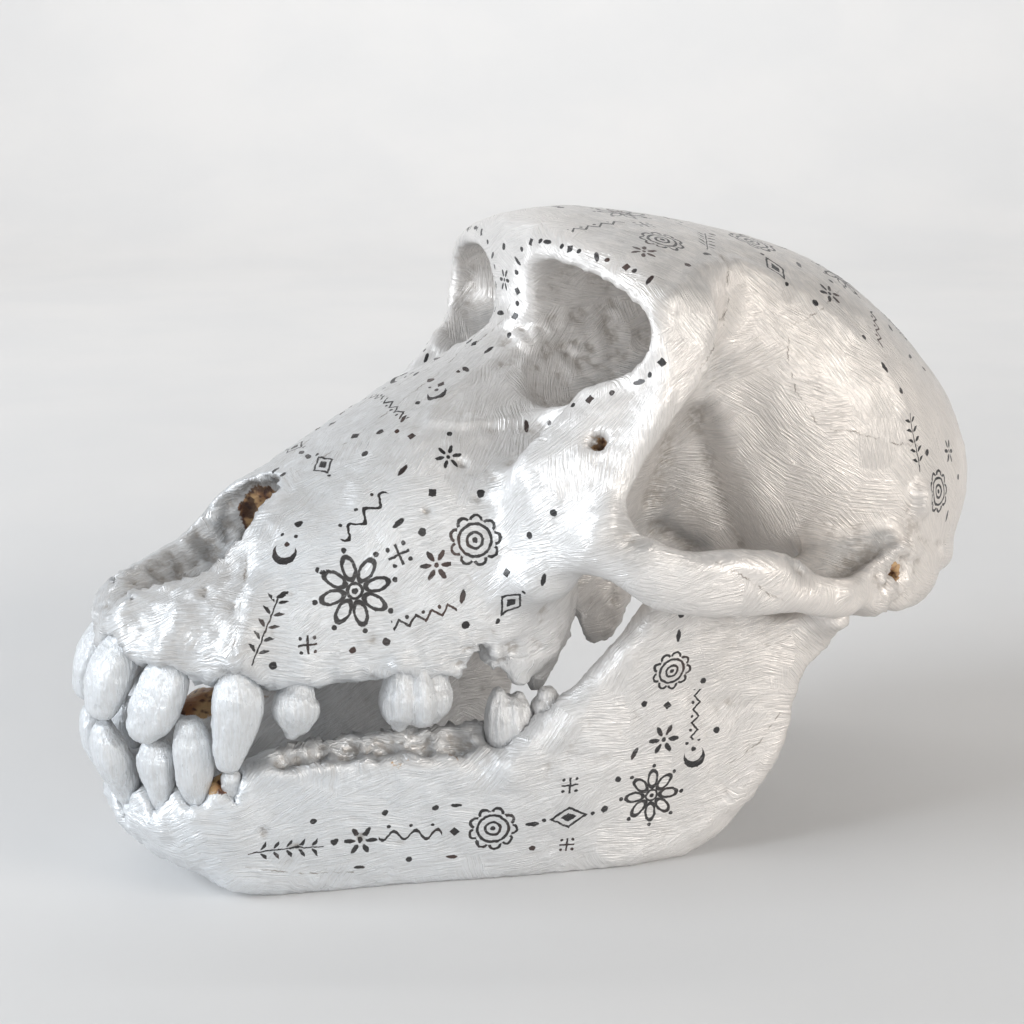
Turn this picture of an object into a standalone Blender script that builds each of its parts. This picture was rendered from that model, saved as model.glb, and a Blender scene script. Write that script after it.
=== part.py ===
"""Dry baboon skull with its lower jaw and the teeth that are left, painted, resting on its jaw.

Metres, +Z up, the muzzle towards -Y, the skull's left side towards +X, the table at Z = 0.
The shapes are given in millimetres and scaled by MM as they are made.

The bone is built like a clay model: named masses (lofts, tapering rods, stretched balls) are
joined and fused by a voxel remesh, the hollows are cut with Booleans, and a second remesh
rounds the edges. Teeth are pieces of their own, each in a socket with a gap of GAP around it.
"""

import math

import bmesh
import bpy
import numpy as np
from mathutils import Matrix, Vector

MM = 0.001
GAP = 0.3               # air around a tooth in its socket, mm
VOXEL = 1.1             # clay grain of the two bones, mm
BASE_CUT = 0.0          # the table: the lower border of the jaw is flattened here, mm
CLOSE = 2.4             # creases between the masses are filled to about this radius, mm
JOINT_ROOM = 1.2        # air between the heads of the jaw and the skull, mm
CRANIUM_TRIS = 3600
MANDIBLE_TRIS = 1450

# Half outlines of the muzzle at stations along Y, from the middle of the palate round to the
# middle of the bridge: y, then x, z pairs.
MUZZLE = [
    (-71.0, [(0, 40.5), (2, 40.5), (4, 40.8), (5.5, 41.4), (6, 42.2), (5.5, 43.0), (4.4, 43.6),
        (3, 43.9), (1.5, 44.1), (0, 44.1)]),
    (-68.5, [(0, 39.0), (3, 39.0), (6, 39.3), (8.8, 40.0), (9.8, 41.6), (9.4, 43.4),
        (7.6, 44.9), (5, 45.8), (2.5, 46.2), (0, 46.3)]),
    (-64.5, [(0, 37.5), (4, 37.5), (9, 38.0), (12.8, 38.8), (14.2, 41.0), (13.5, 43.8),
        (11.2, 46.3), (7.8, 47.9), (4, 48.8), (0, 49.0)]),
    (-60.0, [(0, 36.5), (5, 36.5), (12, 36.5), (16.4, 37.6), (17.8, 40.6), (16.9, 44.4),
        (13.6, 48.0), (9.4, 50.4), (5, 51.7), (0, 52.2)]),
    (-55.5, [(0, 37.0), (6, 36.5), (14, 36.0), (19.2, 37.0), (20.8, 40.5), (19.5, 45.0),
        (15.6, 48.8), (11.0, 51.4), (6, 53.4), (0, 54.4)]),
    (-50.0, [(0, 38.5), (7, 38.0), (15, 36.0), (20.6, 36.2), (22.3, 39.5), (21.3, 46.0),
        (17.6, 51.8), (12.4, 56.2), (6.6, 58.8), (0, 59.8)]),
    (-46.0, [(0, 39.5), (7, 39.0), (15.5, 36.1), (21.3, 36.1), (23.0, 39.5), (22.1, 47.4),
        (18.6, 54.4), (13.0, 59.4), (7, 62.0), (0, 62.8)]),
    (-42.0, [(0, 40.5), (7, 40.0), (16, 36.2), (22.0, 36.0), (23.6, 39.5), (22.7, 48.5),
        (19.6, 56.3), (13.6, 61.2), (7, 63.3), (0, 64.0)]),
    (-34.0, [(0, 42.0), (7, 41.5), (17, 36.2), (23.5, 35.9), (25.2, 40.0), (24.2, 50.5),
        (21.0, 59.5), (14.6, 65.2), (7, 67.8), (0, 68.6)]),
    (-26.0, [(0, 43.0), (7, 42.5), (17.5, 36.0), (25.0, 35.5), (26.7, 40.0), (25.9, 51.5),
        (22.6, 62.0), (15.4, 69.0), (7.5, 72.2), (0, 73.2)]),
    (-18.0, [(0, 44.0), (7, 43.0), (17, 36.6), (25.4, 36.0), (27.6, 41.0), (27.4, 52.0),
        (23.8, 63.0), (16.2, 71.6), (8, 76.0), (0, 77.2)]),
    (-10.0, [(0, 45.0), (7, 44.0), (16, 38.5), (24.0, 38.0), (27.5, 43.0), (28.5, 53.0),
        (25.0, 64.5), (16.0, 73.4), (7.6, 79.4), (0, 81.2)]),
    (-3.0, [(0, 46.0), (7, 45.0), (14, 41.5), (19.5, 42.0), (22.0, 46.0), (24.0, 55.0),
        (24.0, 65.0), (16.0, 73.0), (6.6, 82.5), (0, 86.4)]),
    (4.0, [(0, 47.0), (6, 46.0), (11, 45.0), (15.0, 46.0), (17.0, 49.0), (19.0, 56.0),
        (20.0, 65.0), (15.0, 72.0), (6.4, 84.0), (0, 90.0)]),
]

# The same for the brow, the back of the face and the braincase.
VAULT = [
    (-1.4, [(0, 90), (1.2, 90), (2.0, 90.6), (2.8, 92), (3.8, 94), (5.6, 96.4), (8.6, 98.2),
        (12, 99.4), (11, 100.4), (8, 101.2), (4.5, 101.7), (0, 101.9)]),
    (1.2, [(0, 62), (4, 62), (6.4, 65), (7.6, 70), (7.6, 77), (7.4, 86), (9, 94), (22.5, 98),
        (21.5, 99.9), (16, 101.4), (8.5, 103), (0, 103.6)]),
    (6.0, [(0, 50), (8, 50), (14, 52), (19, 58), (24, 66), (31.4, 75), (35.6, 82.5), (37.4, 88.5),
        (35.9, 94.4), (29, 98.8), (17, 101.9), (0, 104.6)]),
    (12.0, [(0, 46), (8, 46), (14, 49), (18, 56), (22, 64), (27.6, 73), (34.4, 81), (37.4, 88.5),
        (36.4, 93.6), (29.6, 98.6), (18, 102.2), (0, 104.6)]),
    (17.0, [(0, 44), (8, 44), (12.5, 48), (16, 56), (19.5, 64), (23.0, 73), (28.8, 81),
        (34.2, 88.5), (34.2, 93.2), (28.8, 98.2), (17.6, 102), (0, 104.0)]),
    (22.0, [(0, 42), (8, 42), (12, 47), (15.5, 55), (18.5, 63), (21.5, 72), (24.6, 80.5),
        (29.0, 88.5), (30.2, 93.8), (26.6, 98.0), (16.6, 101.6), (0, 103.3)]),
    (28.0, [(0, 41), (8, 41), (13, 45), (18, 53), (21.5, 62), (24, 71), (25.6, 80),
        (26.8, 87.5), (26.4, 93), (23.4, 97.0), (14.5, 100.6), (0, 102.3)]),
    (35.0, [(0, 40), (9, 40), (17, 44), (24, 51), (28.3, 60), (30.0, 69), (30.3, 77.5),
        (29.4, 85), (27, 91), (22.5, 95.8), (13.3, 99.6), (0, 100.8)]),
    (43.0, [(0, 40), (10, 39.5), (21, 42.5), (30, 49), (33.6, 58), (34.4, 67), (33.6, 75.5),
        (31.3, 83), (27.6, 89), (22, 94), (12.8, 97.6), (0, 98.8)]),
    (51.0, [(0, 40), (11, 39), (23, 41), (32, 46.5), (35.3, 55), (35.7, 64), (34.4, 72.5),
        (31.5, 80), (27.1, 86.3), (21, 91.2), (12.2, 94.9), (0, 96)]),
    (59.0, [(0, 40), (11, 39), (22, 40), (31.5, 44), (35.2, 51.5), (35.2, 60.5), (33.4, 69),
        (30.1, 76.3), (25.4, 82.4), (19.5, 87), (11.1, 90.7), (0, 92)]),
    (67.0, [(0, 41), (10, 40), (19, 40), (27.5, 42.8), (31.6, 49.5), (31.7, 57.5), (29.6, 65.3),
        (26.4, 72), (22, 77.6), (16.6, 82), (9.4, 85.3), (0, 86.6)]),
    (75.0, [(0, 43.5), (7, 42.5), (14, 42), (20.5, 43.8), (25, 49), (26, 55.5), (24.6, 62),
        (21.7, 67.7), (17.9, 72.4), (13.3, 76), (7.2, 78.8), (0, 80)]),
    (81.0, [(0, 48), (5.5, 47), (10.5, 46.7), (15, 48.4), (18.4, 52), (19.2, 57), (18, 61.6),
        (15.6, 65.7), (12.6, 69), (9, 71.7), (4.7, 73.5), (0, 74.3)]),
    (85.5, [(0, 54), (2.6, 53.5), (5.2, 53.5), (7.4, 54.6), (9, 56.4), (9.4, 58.8), (8.8, 61),
        (7.6, 62.9), (6, 64.4), (4.2, 65.6), (2.2, 66.3), (0, 66.6)]),
]

# Rods: x, y, z, half size along the wide direction, half size across it.
BROW_RING = [
    (13.0, 1.4, 99.4, 2.2, 2.0), (21.5, 4.7, 98.3, 2.4, 2.4), (30.4, 7.0, 96.2, 2.2, 2.2),
    (34.8, 7.8, 93.2, 2.2, 2.2), (36.9, 7.8, 89.0, 2.2, 2.2), (36.5, 7.0, 84.4, 2.3, 2.3),
    (33.4, 5.4, 80.6, 2.5, 2.5), (29.2, 3.8, 77.4, 2.8, 2.8), (24.0, 2.0, 74.6, 3.0, 3.0),
    (18.6, -0.2, 72.2, 3.2, 3.2), (13.2, -2.4, 72.0, 3.2, 3.2), (9.6, -3.0, 75.0, 2.4, 2.4),
]
BAR = [
    (33.8, 12.4, 93.4, 5.0, 2.6), (36.4, 12.2, 89.0, 5.2, 2.4), (37.8, 10.0, 83.0, 4.4, 2.6),
    (38.2, 6.2, 77.5, 3.4, 2.8), (37.8, 1.8, 72.0, 2.8, 2.6), (38.0, -2.6, 66.0, 3.0, 3.0),
]
CHEEK = [
    (33.0, 3.2, 78.0, 5.6, 3.0), (32.6, -1.7, 72.5, 7.4, 3.2), (33.0, -6.4, 66.5, 8.8, 3.6),
    (33.0, -6.6, 60.5, 10.2, 4.0), (33.4, -6.6, 55.4, 10.0, 3.8),
]
ARCH = [
    (38.5, -5.5, 59.6, 6.6, 3.6), (42.2, -0.9, 56.4, 5.0, 3.4), (44.3, 4.0, 52.9, 5.1, 3.2),
    (45.4, 9.0, 51.8, 5.4, 3.0), (46.0, 14.5, 51.3, 5.7, 2.9), (45.8, 20.5, 50.6, 5.5, 2.9),
    (45.2, 27.0, 49.4, 4.8, 2.8), (43.8, 33.0, 47.0, 4.2, 2.9), (41.8, 38.5, 45.2, 3.8, 3.2),
    (38.5, 42.5, 45.0, 3.4, 3.8),
]
CREST = [
    (42.2, 37.0, 46.4, 2.0, 1.8), (40.6, 42.0, 47.2, 2.1, 1.6), (38.6, 46.8, 48.8, 2.1, 1.6),
    (36.0, 52.0, 50.4, 2.2, 1.8), (33.6, 57.6, 49.8, 2.2, 2.0), (30.8, 63.0, 47.0, 2.4, 2.0),
    (27.0, 69.4, 44.4, 2.8, 2.2), (21.4, 74.4, 44.2, 2.4, 2.2), (11.0, 78.5, 46.5, 1.9, 2.0),
    (0.0, 81.0, 48.0, 2.0, 2.0),
]
EAR_TUBE = [(28.0, 46.4, 42.5, 4.0, 4.0), (34.0, 46.8, 42.8, 4.4, 4.0),
    (38.0, 47.4, 43.4, 4.2, 3.8)]
PTERYGOID = [(10.0, 10.0, 50.0, 10.0, 2.8), (10.8, 10.4, 42.0, 8.6, 2.6),
    (11.4, 9.4, 34.4, 5.0, 2.6)]
HAMULUS = [
    (19.5, -2.6, 48.0, 6.0, 2.6), (19.0, -2.2, 38.5, 4.2, 2.3), (18.7, -3.6, 33.0, 2.8, 2.0),
    (18.4, -4.6, 28.8, 1.8, 1.7),
]
TUBEROSITY = [
    (23.0, -8.0, 48.0, 7.5, 3.4), (24.2, -8.0, 40.0, 6.6, 2.4), (24.4, -10.6, 33.2, 2.4, 1.8),
]

# The eye socket: outline of the opening, then its size and middle at stations going in.
ORBIT_RIM = [
    (7.0, 90.5), (8.0, 95.2), (12.5, 97.6), (21.0, 97.0), (29.4, 95.2), (34.8, 92.2), (36.6, 88.6),
    (36.0, 84.8), (32.8, 81.6), (27.8, 78.8), (22.8, 76.2), (17.5, 74.3), (13.2, 74.0),
        (10.0, 76.5),
    (8.0, 80.5), (7.0, 85.5),
]
ORBIT_DEPTH = [
    (-14.0, 0.80, 26.0, 92.0), (-7.0, 0.90, 23.0, 88.6), (-2.5, 0.98, 21.0, 86.4),
    (3.0, 1.0, 20.5, 86.0), (7.0, 0.98, 20.3, 86.0), (12.0, 0.86, 18.7, 86.2),
    (17.0, 0.71, 17.1, 86.0), (21.5, 0.53, 15.2, 85.6), (24.5, 0.34, 14.2, 85.2),
    (26.5, 0.14, 13.6, 85.0),
]
# The nose: the opening, then the passage to the back of the palate.
NOSE = [
    (0.0, -70.0, 49.6, 2.0, 2.6), (0.0, -66.5, 50.0, 4.2, 4.2), (0.0, -62.0, 51.6, 6.8, 6.0),
    (0.0, -56.0, 53.6, 8.8, 7.8), (0.0, -50.0, 55.6, 9.0, 9.2), (0.0, -46.0, 56.2, 8.8, 9.0),
    (0.0, -42.0, 54.2, 8.0, 7.4), (0.0, -36.0, 54.6, 8.0, 8.0), (0.0, -20.0, 57.0, 8.6, 9.0),
    (0.0, -4.0, 54.0, 8.0, 7.0), (0.0, 6.0, 46.0, 7.0, 6.0), (0.0, 12.0, 38.0, 7.0, 6.0),
]
PALATE = [
    (0.0, -62.0, 33.5, 5.0, 3.0), (0.0, -54.0, 34.5, 12.0, 5.0), (0.0, -40.0, 35.5, 14.5, 6.5),
    (0.0, -22.0, 36.0, 16.0, 7.4), (0.0, -6.0, 36.0, 16.0, 8.0), (0.0, 4.0, 34.0, 15.0, 8.0),
]
# The room for the brain, and the great hole under the back of the head.
BRAIN = [
    (0.0, 31.5, 82.0, 9.0, 7.0), (0.0, 36.0, 77.5, 20.0, 16.0), (0.0, 43.0, 71.0, 28.5, 22.5),
    (0.0, 51.0, 68.5, 30.5, 22.5), (0.0, 59.0, 65.5, 29.5, 20.0), (0.0, 66.0, 63.0, 25.0, 16.5),
    (0.0, 72.0, 61.0, 18.0, 11.5), (0.0, 76.0, 60.0, 10.0, 6.5), (0.0, 78.0, 60.0, 3.0, 2.5),
]
GREAT_HOLE = [(0.0, 62.0, 60.0, 8.0, 7.0), (0.0, 68.0, 48.0, 7.5, 6.8), (0.0, 74.0, 32.0, 7.5, 7.0)]
# Slit behind the ear tube, and the notch broken out of the left tooth row (corner points).
EAR_SLIT = [
    (28.0, 49.6, 47.6), (36.0, 50.6, 48.4), (42.0, 51.6, 47.6), (42.0, 51.8, 43.6),
    (28.0, 51.2, 44.0), (42.0, 53.2, 47.4), (42.0, 53.4, 44.2), (30.0, 52.6, 45.0),
]
BROKEN_ROW = [
    (14.0, -21.6, 30.0), (34.0, -21.6, 30.0), (34.0, -20.4, 36.0), (34.0, -18.8, 41.2),
    (14.0, -18.8, 41.2), (34.0, -15.8, 40.0), (34.0, -14.8, 36.6), (14.0, -14.6, 30.0),
    (34.0, -13.4, 30.0),
]

# Half outlines of the chin and of the left half of the jaw body, y then x, z pairs.
CHIN = [
    (-70.6, [(0, 13.5), (2, 13.5), (3.8, 14.2), (4.8, 15.6), (4.4, 16.8), (2.6, 17.4),
        (1.2, 17.5), (0, 17.5)]),
    (-68.0, [(0, 9.6), (3.5, 9.8), (6.8, 11.0), (8.8, 13.6), (8.6, 16.6), (5.6, 18.0),
        (2.6, 18.2), (0, 18.2)]),
    (-64.5, [(0, 5.8), (5, 6.0), (9.6, 7.6), (12.8, 11.6), (13.6, 16.2), (10.0, 18.6),
        (4, 18.8), (0, 18.6)]),
    (-60.0, [(0, 2.4), (6.5, 2.6), (12.2, 4.6), (16.0, 10.0), (17.4, 16.4), (13.4, 19.6),
        (5, 18.6), (0, 17.4)]),
    (-55.5, [(0, 1.4), (7, 0.8), (13.6, 1.6), (17.4, 8.0), (18.8, 16.0), (16.0, 20.0),
        (6, 15.5), (0, 13.6)]),
    (-50.5, [(0, 2.6), (7, 0.4), (14.6, 0.2), (18.2, 7.0), (19.0, 17.0), (15.4, 22.0),
        (7.6, 12.4), (0, 9.6)]),
    (-46.5, [(0, 4.4), (7.6, 0.8), (15.4, -0.2), (19.2, 6.8), (20.4, 17.0), (17.0, 22.4),
        (10.6, 12.0), (0, 7.4)]),
]
# Full outlines of the left jaw body and ramus foot: y, then x, z pairs from the outer border.
BODY = [
    (-58.0, [(15.0, 2.4), (17.0, 8.0), (17.4, 14.0), (16.8, 18.6), (14.6, 19.6), (12.0, 19.0),
        (9.0, 14.0), (9.0, 4.0)]),
    (-50.0, [(16.4, 0.0), (18.4, 7.0), (19.8, 15.0), (20.0, 23.4), (17.4, 23.8), (14.0, 23.6),
        (10.4, 14.0), (9.4, 1.0)]),
    (-40.0, [(18.6, -0.5), (20.8, 7.0), (22.2, 15.0), (22.6, 23.0), (19.6, 23.6), (15.4, 24.6),
        (12.4, 14.0), (12.2, 0.0)]),
    (-30.0, [(21.0, -0.5), (23.0, 7.0), (24.4, 15.0), (24.8, 22.8), (21.6, 23.6), (16.8, 25.0),
        (14.6, 14.0), (15.2, 0.0)]),
    (-20.0, [(24.0, -0.5), (26.0, 7.0), (27.2, 14.0), (27.2, 20.2), (23.8, 23.4), (18.2, 25.0),
        (17.4, 14.0), (18.6, 0.0)]),
    (-11.0, [(26.6, -0.5), (28.8, 7.0), (30.0, 14.0), (29.8, 21.5), (27.0, 24.4), (20.0, 24.4),
        (20.4, 14.0), (21.8, 0.0)]),
    (-3.0, [(28.6, -0.5), (30.6, 8.0), (32.0, 17.0), (32.2, 26.0), (29.6, 31.5), (25.0, 26.0),
        (24.4, 14.0), (24.6, 0.0)]),
    (6.0, [(30.0, -0.5), (31.8, 10.0), (33.4, 22.0), (34.6, 36.0), (33.2, 42.0), (30.2, 30.0),
        (28.2, 14.0), (27.0, 0.0)]),
    (14.0, [(30.8, 0.0), (32.6, 12.0), (34.4, 26.0), (35.8, 42.0), (34.4, 48.0), (31.6, 34.0),
        (29.4, 16.0), (28.0, 0.4)]),
    (20.0, [(31.4, 2.2), (33.0, 14.0), (34.8, 28.0), (36.2, 40.0), (34.8, 43.0), (32.0, 34.0),
        (30.0, 18.0), (29.0, 3.2)]),
]
# Ramus plate seen from the side (y, z), and how far out it stands.
RAMUS = [
    (-4.0, 26.0), (-1.2, 33.0), (3.8, 38.6), (8.8, 44.6), (11.6, 48.6),
    (14.4, 51.2), (17.4, 51.8), (20.5, 49.6), (24.5, 45.0), (30.0, 41.2), (35.5, 40.0),
        (40.6, 40.0),
    (42.8, 37.8), (41.0, 34.6), (37.8, 32.0), (36.2, 29.6), (35.4, 26.0), (34.8, 22.0),
        (34.0, 18.0),
    (32.2, 14.0), (30.2, 11.0), (27.6, 7.6), (24.4, 3.8), (19.8, 0.6), (14.0, -0.5), (6.0, -0.5),
    (0.0, 4.0), (-3.0, 14.0),
]
RAMUS_HALF = 2.6
OBLIQUE_LINE = [
    (28.5, -14.0, 19.6, 3.2, 3.0), (29.4, -5.0, 27.0, 3.0, 2.6), (31.2, 4.0, 36.0, 2.4, 2.2),
    (32.6, 9.6, 43.6, 2.2, 2.0),
]

# Teeth, left side: the direction of the width (degrees from +X towards +Y), then one or two
# masses, each a rod from the root down the crown.
TEETH = {
    "upper_incisor_1": (8, [[(4.4, -65.3, 45.9, 1.6, 1.4), (4.5, -66.5, 43.4, 2.2, 1.9),
        (4.7, -68.1, 40.7, 3.5, 3.0), (4.8, -70.0, 37.4, 4.3, 3.6),
        (4.8, -71.3, 34.2, 4.2, 3.3), (4.7, -72.1, 31.8, 3.6, 2.5)]]),
    "upper_incisor_2": (40, [[(12.2, -60.3, 43.4, 1.6, 1.4), (12.0, -61.8, 40.6, 2.2, 1.9),
        (11.7, -63.0, 37.9, 3.5, 2.9), (11.5, -64.5, 34.3, 4.0, 3.3),
        (11.1, -66.0, 31.2, 3.9, 3.1), (10.5, -67.4, 29.2, 3.0, 2.3)]]),
    "upper_canine": (76, [[(18.0, -54.3, 41.3, 1.6, 1.6), (18.3, -54.5, 38.8, 2.4, 2.2),
        (18.5, -54.5, 36.1, 3.6, 3.2), (18.6, -54.5, 33.6, 4.0, 3.6),
        (18.7, -55.1, 30.5, 3.6, 3.2), (18.8, -55.9, 27.5, 2.9, 2.6),
        (18.8, -56.4, 24.8, 2.1, 1.9)]]),
    "upper_premolar": (84, [[(19.8, -45.3, 38.5, 1.8, 1.7), (19.8, -45.4, 35.3, 2.4, 2.3),
        (19.9, -45.8, 33.6, 3.4, 3.2), (20.0, -46.0, 31.7, 3.7, 3.4),
        (20.0, -46.3, 29.6, 2.6, 2.4), (20.0, -46.7, 28.2, 1.2, 1.2)]]),
    "upper_molar": (86, [
        [(22.2, -29.6, 39.0, 2.0, 2.6), (22.4, -29.8, 34.6, 2.6, 3.6),
            (22.6, -29.9, 32.0, 3.2, 4.4), (22.6, -30.0, 29.4, 2.7, 3.6),
            (22.6, -30.1, 27.9, 1.3, 1.6)],
        [(22.2, -24.4, 39.0, 2.0, 2.6), (22.4, -24.4, 34.6, 2.5, 3.5),
            (22.5, -24.3, 32.0, 3.0, 4.2), (22.5, -24.2, 29.6, 2.5, 3.4),
            (22.5, -24.2, 28.2, 1.2, 1.5)]]),
    "lower_incisor_1": (8, [[(4.1, -67.2, 11.9, 1.5, 1.4), (4.1, -68.4, 15.6, 1.9, 1.8),
        (4.1, -69.5, 19.0, 2.9, 2.6), (4.3, -70.7, 22.2, 3.5, 3.0),
        (4.3, -71.5, 25.2, 3.3, 2.7), (4.3, -71.9, 27.2, 2.5, 1.9)]]),
    "lower_incisor_2": (38, [[(10.2, -64.0, 13.4, 1.4, 1.4), (10.2, -64.8, 16.6, 1.7, 1.6),
        (10.2, -65.0, 20.2, 2.6, 2.4), (10.1, -65.2, 23.2, 3.2, 2.7),
        (10.0, -65.2, 25.0, 2.8, 2.3)]]),
    "lower_canine": (70, [[(13.4, -59.4, 14.0, 1.5, 1.5), (14.0, -60.2, 17.6, 1.9, 1.8),
        (14.3, -60.6, 20.9, 2.8, 2.6), (14.2, -60.4, 23.8, 3.2, 2.9),
        (14.1, -60.6, 26.5, 3.1, 2.8), (13.9, -60.8, 29.3, 2.4, 2.2)]]),
    "lower_premolar_root": (82, [[(16.2, -55.0, 16.5, 1.2, 1.2), (16.6, -55.4, 19.6, 1.6, 1.5),
        (16.8, -55.6, 21.2, 1.7, 1.6)]]),
    "lower_molar": (88, [
        [(24.4, -12.9, 17.5, 1.7, 2.4), (24.3, -13.2, 21.4, 2.1, 3.0),
            (24.1, -13.5, 25.6, 2.4, 3.4), (24.0, -13.6, 29.2, 1.9, 2.6),
            (24.0, -13.7, 31.0, 1.0, 1.4)],
        [(24.4, -10.4, 17.5, 1.6, 2.3), (24.3, -10.3, 21.4, 2.0, 2.9),
            (24.1, -10.2, 25.2, 2.2, 3.3), (24.0, -10.2, 28.4, 1.7, 2.5),
            (24.0, -10.2, 29.9, 0.9, 1.2)]]),
    "lower_last_molar": (86, [[(25.7, -5.4, 24.0, 1.9, 1.9), (25.6, -5.6, 26.4, 2.5, 2.5),
        (25.6, -5.8, 28.4, 2.8, 2.8), (25.6, -5.9, 29.8, 1.8, 1.8)]]),
}
TOOTH_SIDES = 8
TOOTH_TRIS = 120

BONE_PAINT = (0.86, 0.86, 0.86, 1.0)
TOOTH_PAINT = (0.90, 0.90, 0.89, 1.0)


def clear_scene():
    for ob in list(bpy.data.objects):
        bpy.data.objects.remove(ob, do_unlink=True)


def collection(name):
    col = bpy.data.collections.new(name)
    bpy.context.scene.collection.children.link(col)
    return col


def paint(name, colour):
    mat = bpy.data.materials.new(name)
    mat.use_nodes = True
    bsdf = mat.node_tree.nodes["Principled BSDF"]
    bsdf.inputs["Base Color"].default_value = colour
    bsdf.inputs["Metallic"].default_value = 0.3
    bsdf.inputs["Roughness"].default_value = 0.38
    return mat


def along(keys, count):
    """Smooth run of rows through the given rows, evenly stepped between neighbours."""
    keys = np.asarray(keys, float)
    pad = np.vstack([2 * keys[0] - keys[1], keys, 2 * keys[-1] - keys[-2]])
    rows = []
    for i in range(len(keys) - 1):
        a, b, c, d = pad[i], pad[i + 1], pad[i + 2], pad[i + 3]
        for s in range(count):
            t = s / count
            rows.append(0.5 * ((2 * b) + (c - a) * t + (2 * a - 5 * b + 4 * c - d) * t * t
                               + (3 * b - a - 3 * c + d) * t ** 3))
    rows.append(keys[-1])
    return np.array(rows)


def round_ring(ring, count):
    """The same smoothing for a closed outline."""
    ring = np.asarray(ring, float)
    n = len(ring)
    rows = []
    for i in range(n):
        a, b, c, d = ring[i - 1], ring[i], ring[(i + 1) % n], ring[(i + 2) % n]
        for s in range(count):
            t = s / count
            rows.append(0.5 * ((2 * b) + (c - a) * t + (2 * a - 5 * b + 4 * c - d) * t * t
                               + (3 * b - a - 3 * c + d) * t ** 3))
    return np.array(rows)


def skin(rings):
    """Closed shell over a run of rings: unlike sections, so the faces are written here."""
    bm = bmesh.new()
    loops = []
    for ring in rings:
        loops.append([bm.verts.new(Vector(p) * MM) for p in ring])
    for lo, hi in zip(loops, loops[1:]):
        n = len(lo)
        for i in range(n):
            j = (i + 1) % n
            bm.faces.new((lo[i], lo[j], hi[j], hi[i]))
    for loop in (loops[0], loops[-1]):
        mid = bm.verts.new(sum((v.co for v in loop), Vector()) / len(loop))
        n = len(loop)
        for i in range(n):
            bm.faces.new((loop[i], loop[(i + 1) % n], mid))
    bmesh.ops.recalc_face_normals(bm, faces=bm.faces)
    return bm


def mirrored_loft(stations, steps=4, ring_steps=3):
    """Shell with two equal halves from half outlines along Y."""
    rows = []
    for y, half in stations:
        rows.append([y] + [c for p in half for c in p])
    rings = []
    for row in along(rows, steps):
        half = row[1:].reshape(-1, 2)
        full = list(half) + [(-x, z) for x, z in half[-2:0:-1]]
        flat = round_ring(full, ring_steps)
        rings.append([(x, row[0], z) for x, z in flat])
    return skin(rings)


def side_loft(stations, steps=4, ring_steps=3):
    """Shell from full outlines along Y."""
    rows = []
    for y, ring in stations:
        rows.append([y] + [c for p in ring for c in p])
    rings = []
    for row in along(rows, steps):
        flat = round_ring(row[1:].reshape(-1, 2), ring_steps)
        rings.append([(x, row[0], z) for x, z in flat])
    return skin(rings)


def rod(path, wide, steps=4, sides=14, domes=(True, True)):
    """Tapering rod of oval section along a path, its first half size towards wide."""
    rows = along(path, steps)
    wide = Vector(wide).normalized()
    rings = []
    last = len(rows) - 1
    for i, row in enumerate(rows):
        here = Vector(row[:3])
        run = Vector(rows[min(i + 1, last)][:3]) - Vector(rows[max(i - 1, 0)][:3])
        run.normalize()
        u = (wide - run * wide.dot(run)).normalized()
        v = run.cross(u).normalized()
        ends = [(0.0, 1.0)]
        reach = min(row[3], row[4])
        if i == 0 and domes[0]:
            ends = [(-0.8, 0.5), (-0.45, 0.86), (0.0, 1.0)]
        elif i == last and domes[1]:
            ends = [(0.0, 1.0), (0.45, 0.86), (0.8, 0.5)]
        for shift, grow in ends:
            ring = []
            for k in range(sides):
                t = 2 * math.pi * k / sides
                ring.append(here + run * (shift * reach) + u * (row[3] * grow * math.cos(t))
                            + v * (row[4] * grow * math.sin(t)))
            rings.append(ring)
    return skin(rings)


def ball(centre, radii, turn=(0, 0, 0)):
    bm = bmesh.new()
    spin = Matrix.Rotation(math.radians(turn[2]), 4, "Z")
    spin = spin @ Matrix.Rotation(math.radians(turn[1]), 4, "Y")
    spin = spin @ Matrix.Rotation(math.radians(turn[0]), 4, "X")
    place = Matrix.Translation(Vector(centre) * MM) @ spin
    size = Matrix.Diagonal((radii[0] * MM, radii[1] * MM, radii[2] * MM, 1.0))
    bmesh.ops.create_uvsphere(bm, u_segments=20, v_segments=12, radius=1.0, matrix=place @ size)
    return bm


def hull(points):
    """Smallest closed shell round some points."""
    bm = bmesh.new()
    for p in points:
        bm.verts.new(Vector(p) * MM)
    made = bmesh.ops.convex_hull(bm, input=bm.verts)
    loose = [g for g in made["geom_interior"] if isinstance(g, bmesh.types.BMVert)]
    bmesh.ops.delete(bm, geom=loose, context="VERTS")
    return bm


def plate(outline, x_of, half):
    """Flat plate from a side outline (y, z), bent so that its middle stands at x_of(y, z)."""
    bm = bmesh.new()
    flat = round_ring(outline, 3)
    face = bm.faces.new([bm.verts.new(Vector((0.0, y, z)) * MM) for y, z in flat])
    bmesh.ops.triangulate(bm, faces=[face])
    bmesh.ops.subdivide_edges(bm, edges=bm.edges, cuts=2, use_grid_fill=True)
    bmesh.ops.triangulate(bm, faces=bm.faces)
    body = bmesh.ops.extrude_face_region(bm, geom=bm.faces[:])
    raised = [g for g in body["geom"] if isinstance(g, bmesh.types.BMVert)]
    marked = set(raised)
    for v in bm.verts:
        y, z = v.co.y / MM, v.co.z / MM
        side = half if v in marked else -half
        v.co.x = (x_of(y, z) + side) * MM
    bmesh.ops.recalc_face_normals(bm, faces=bm.faces)
    return bm


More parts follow.
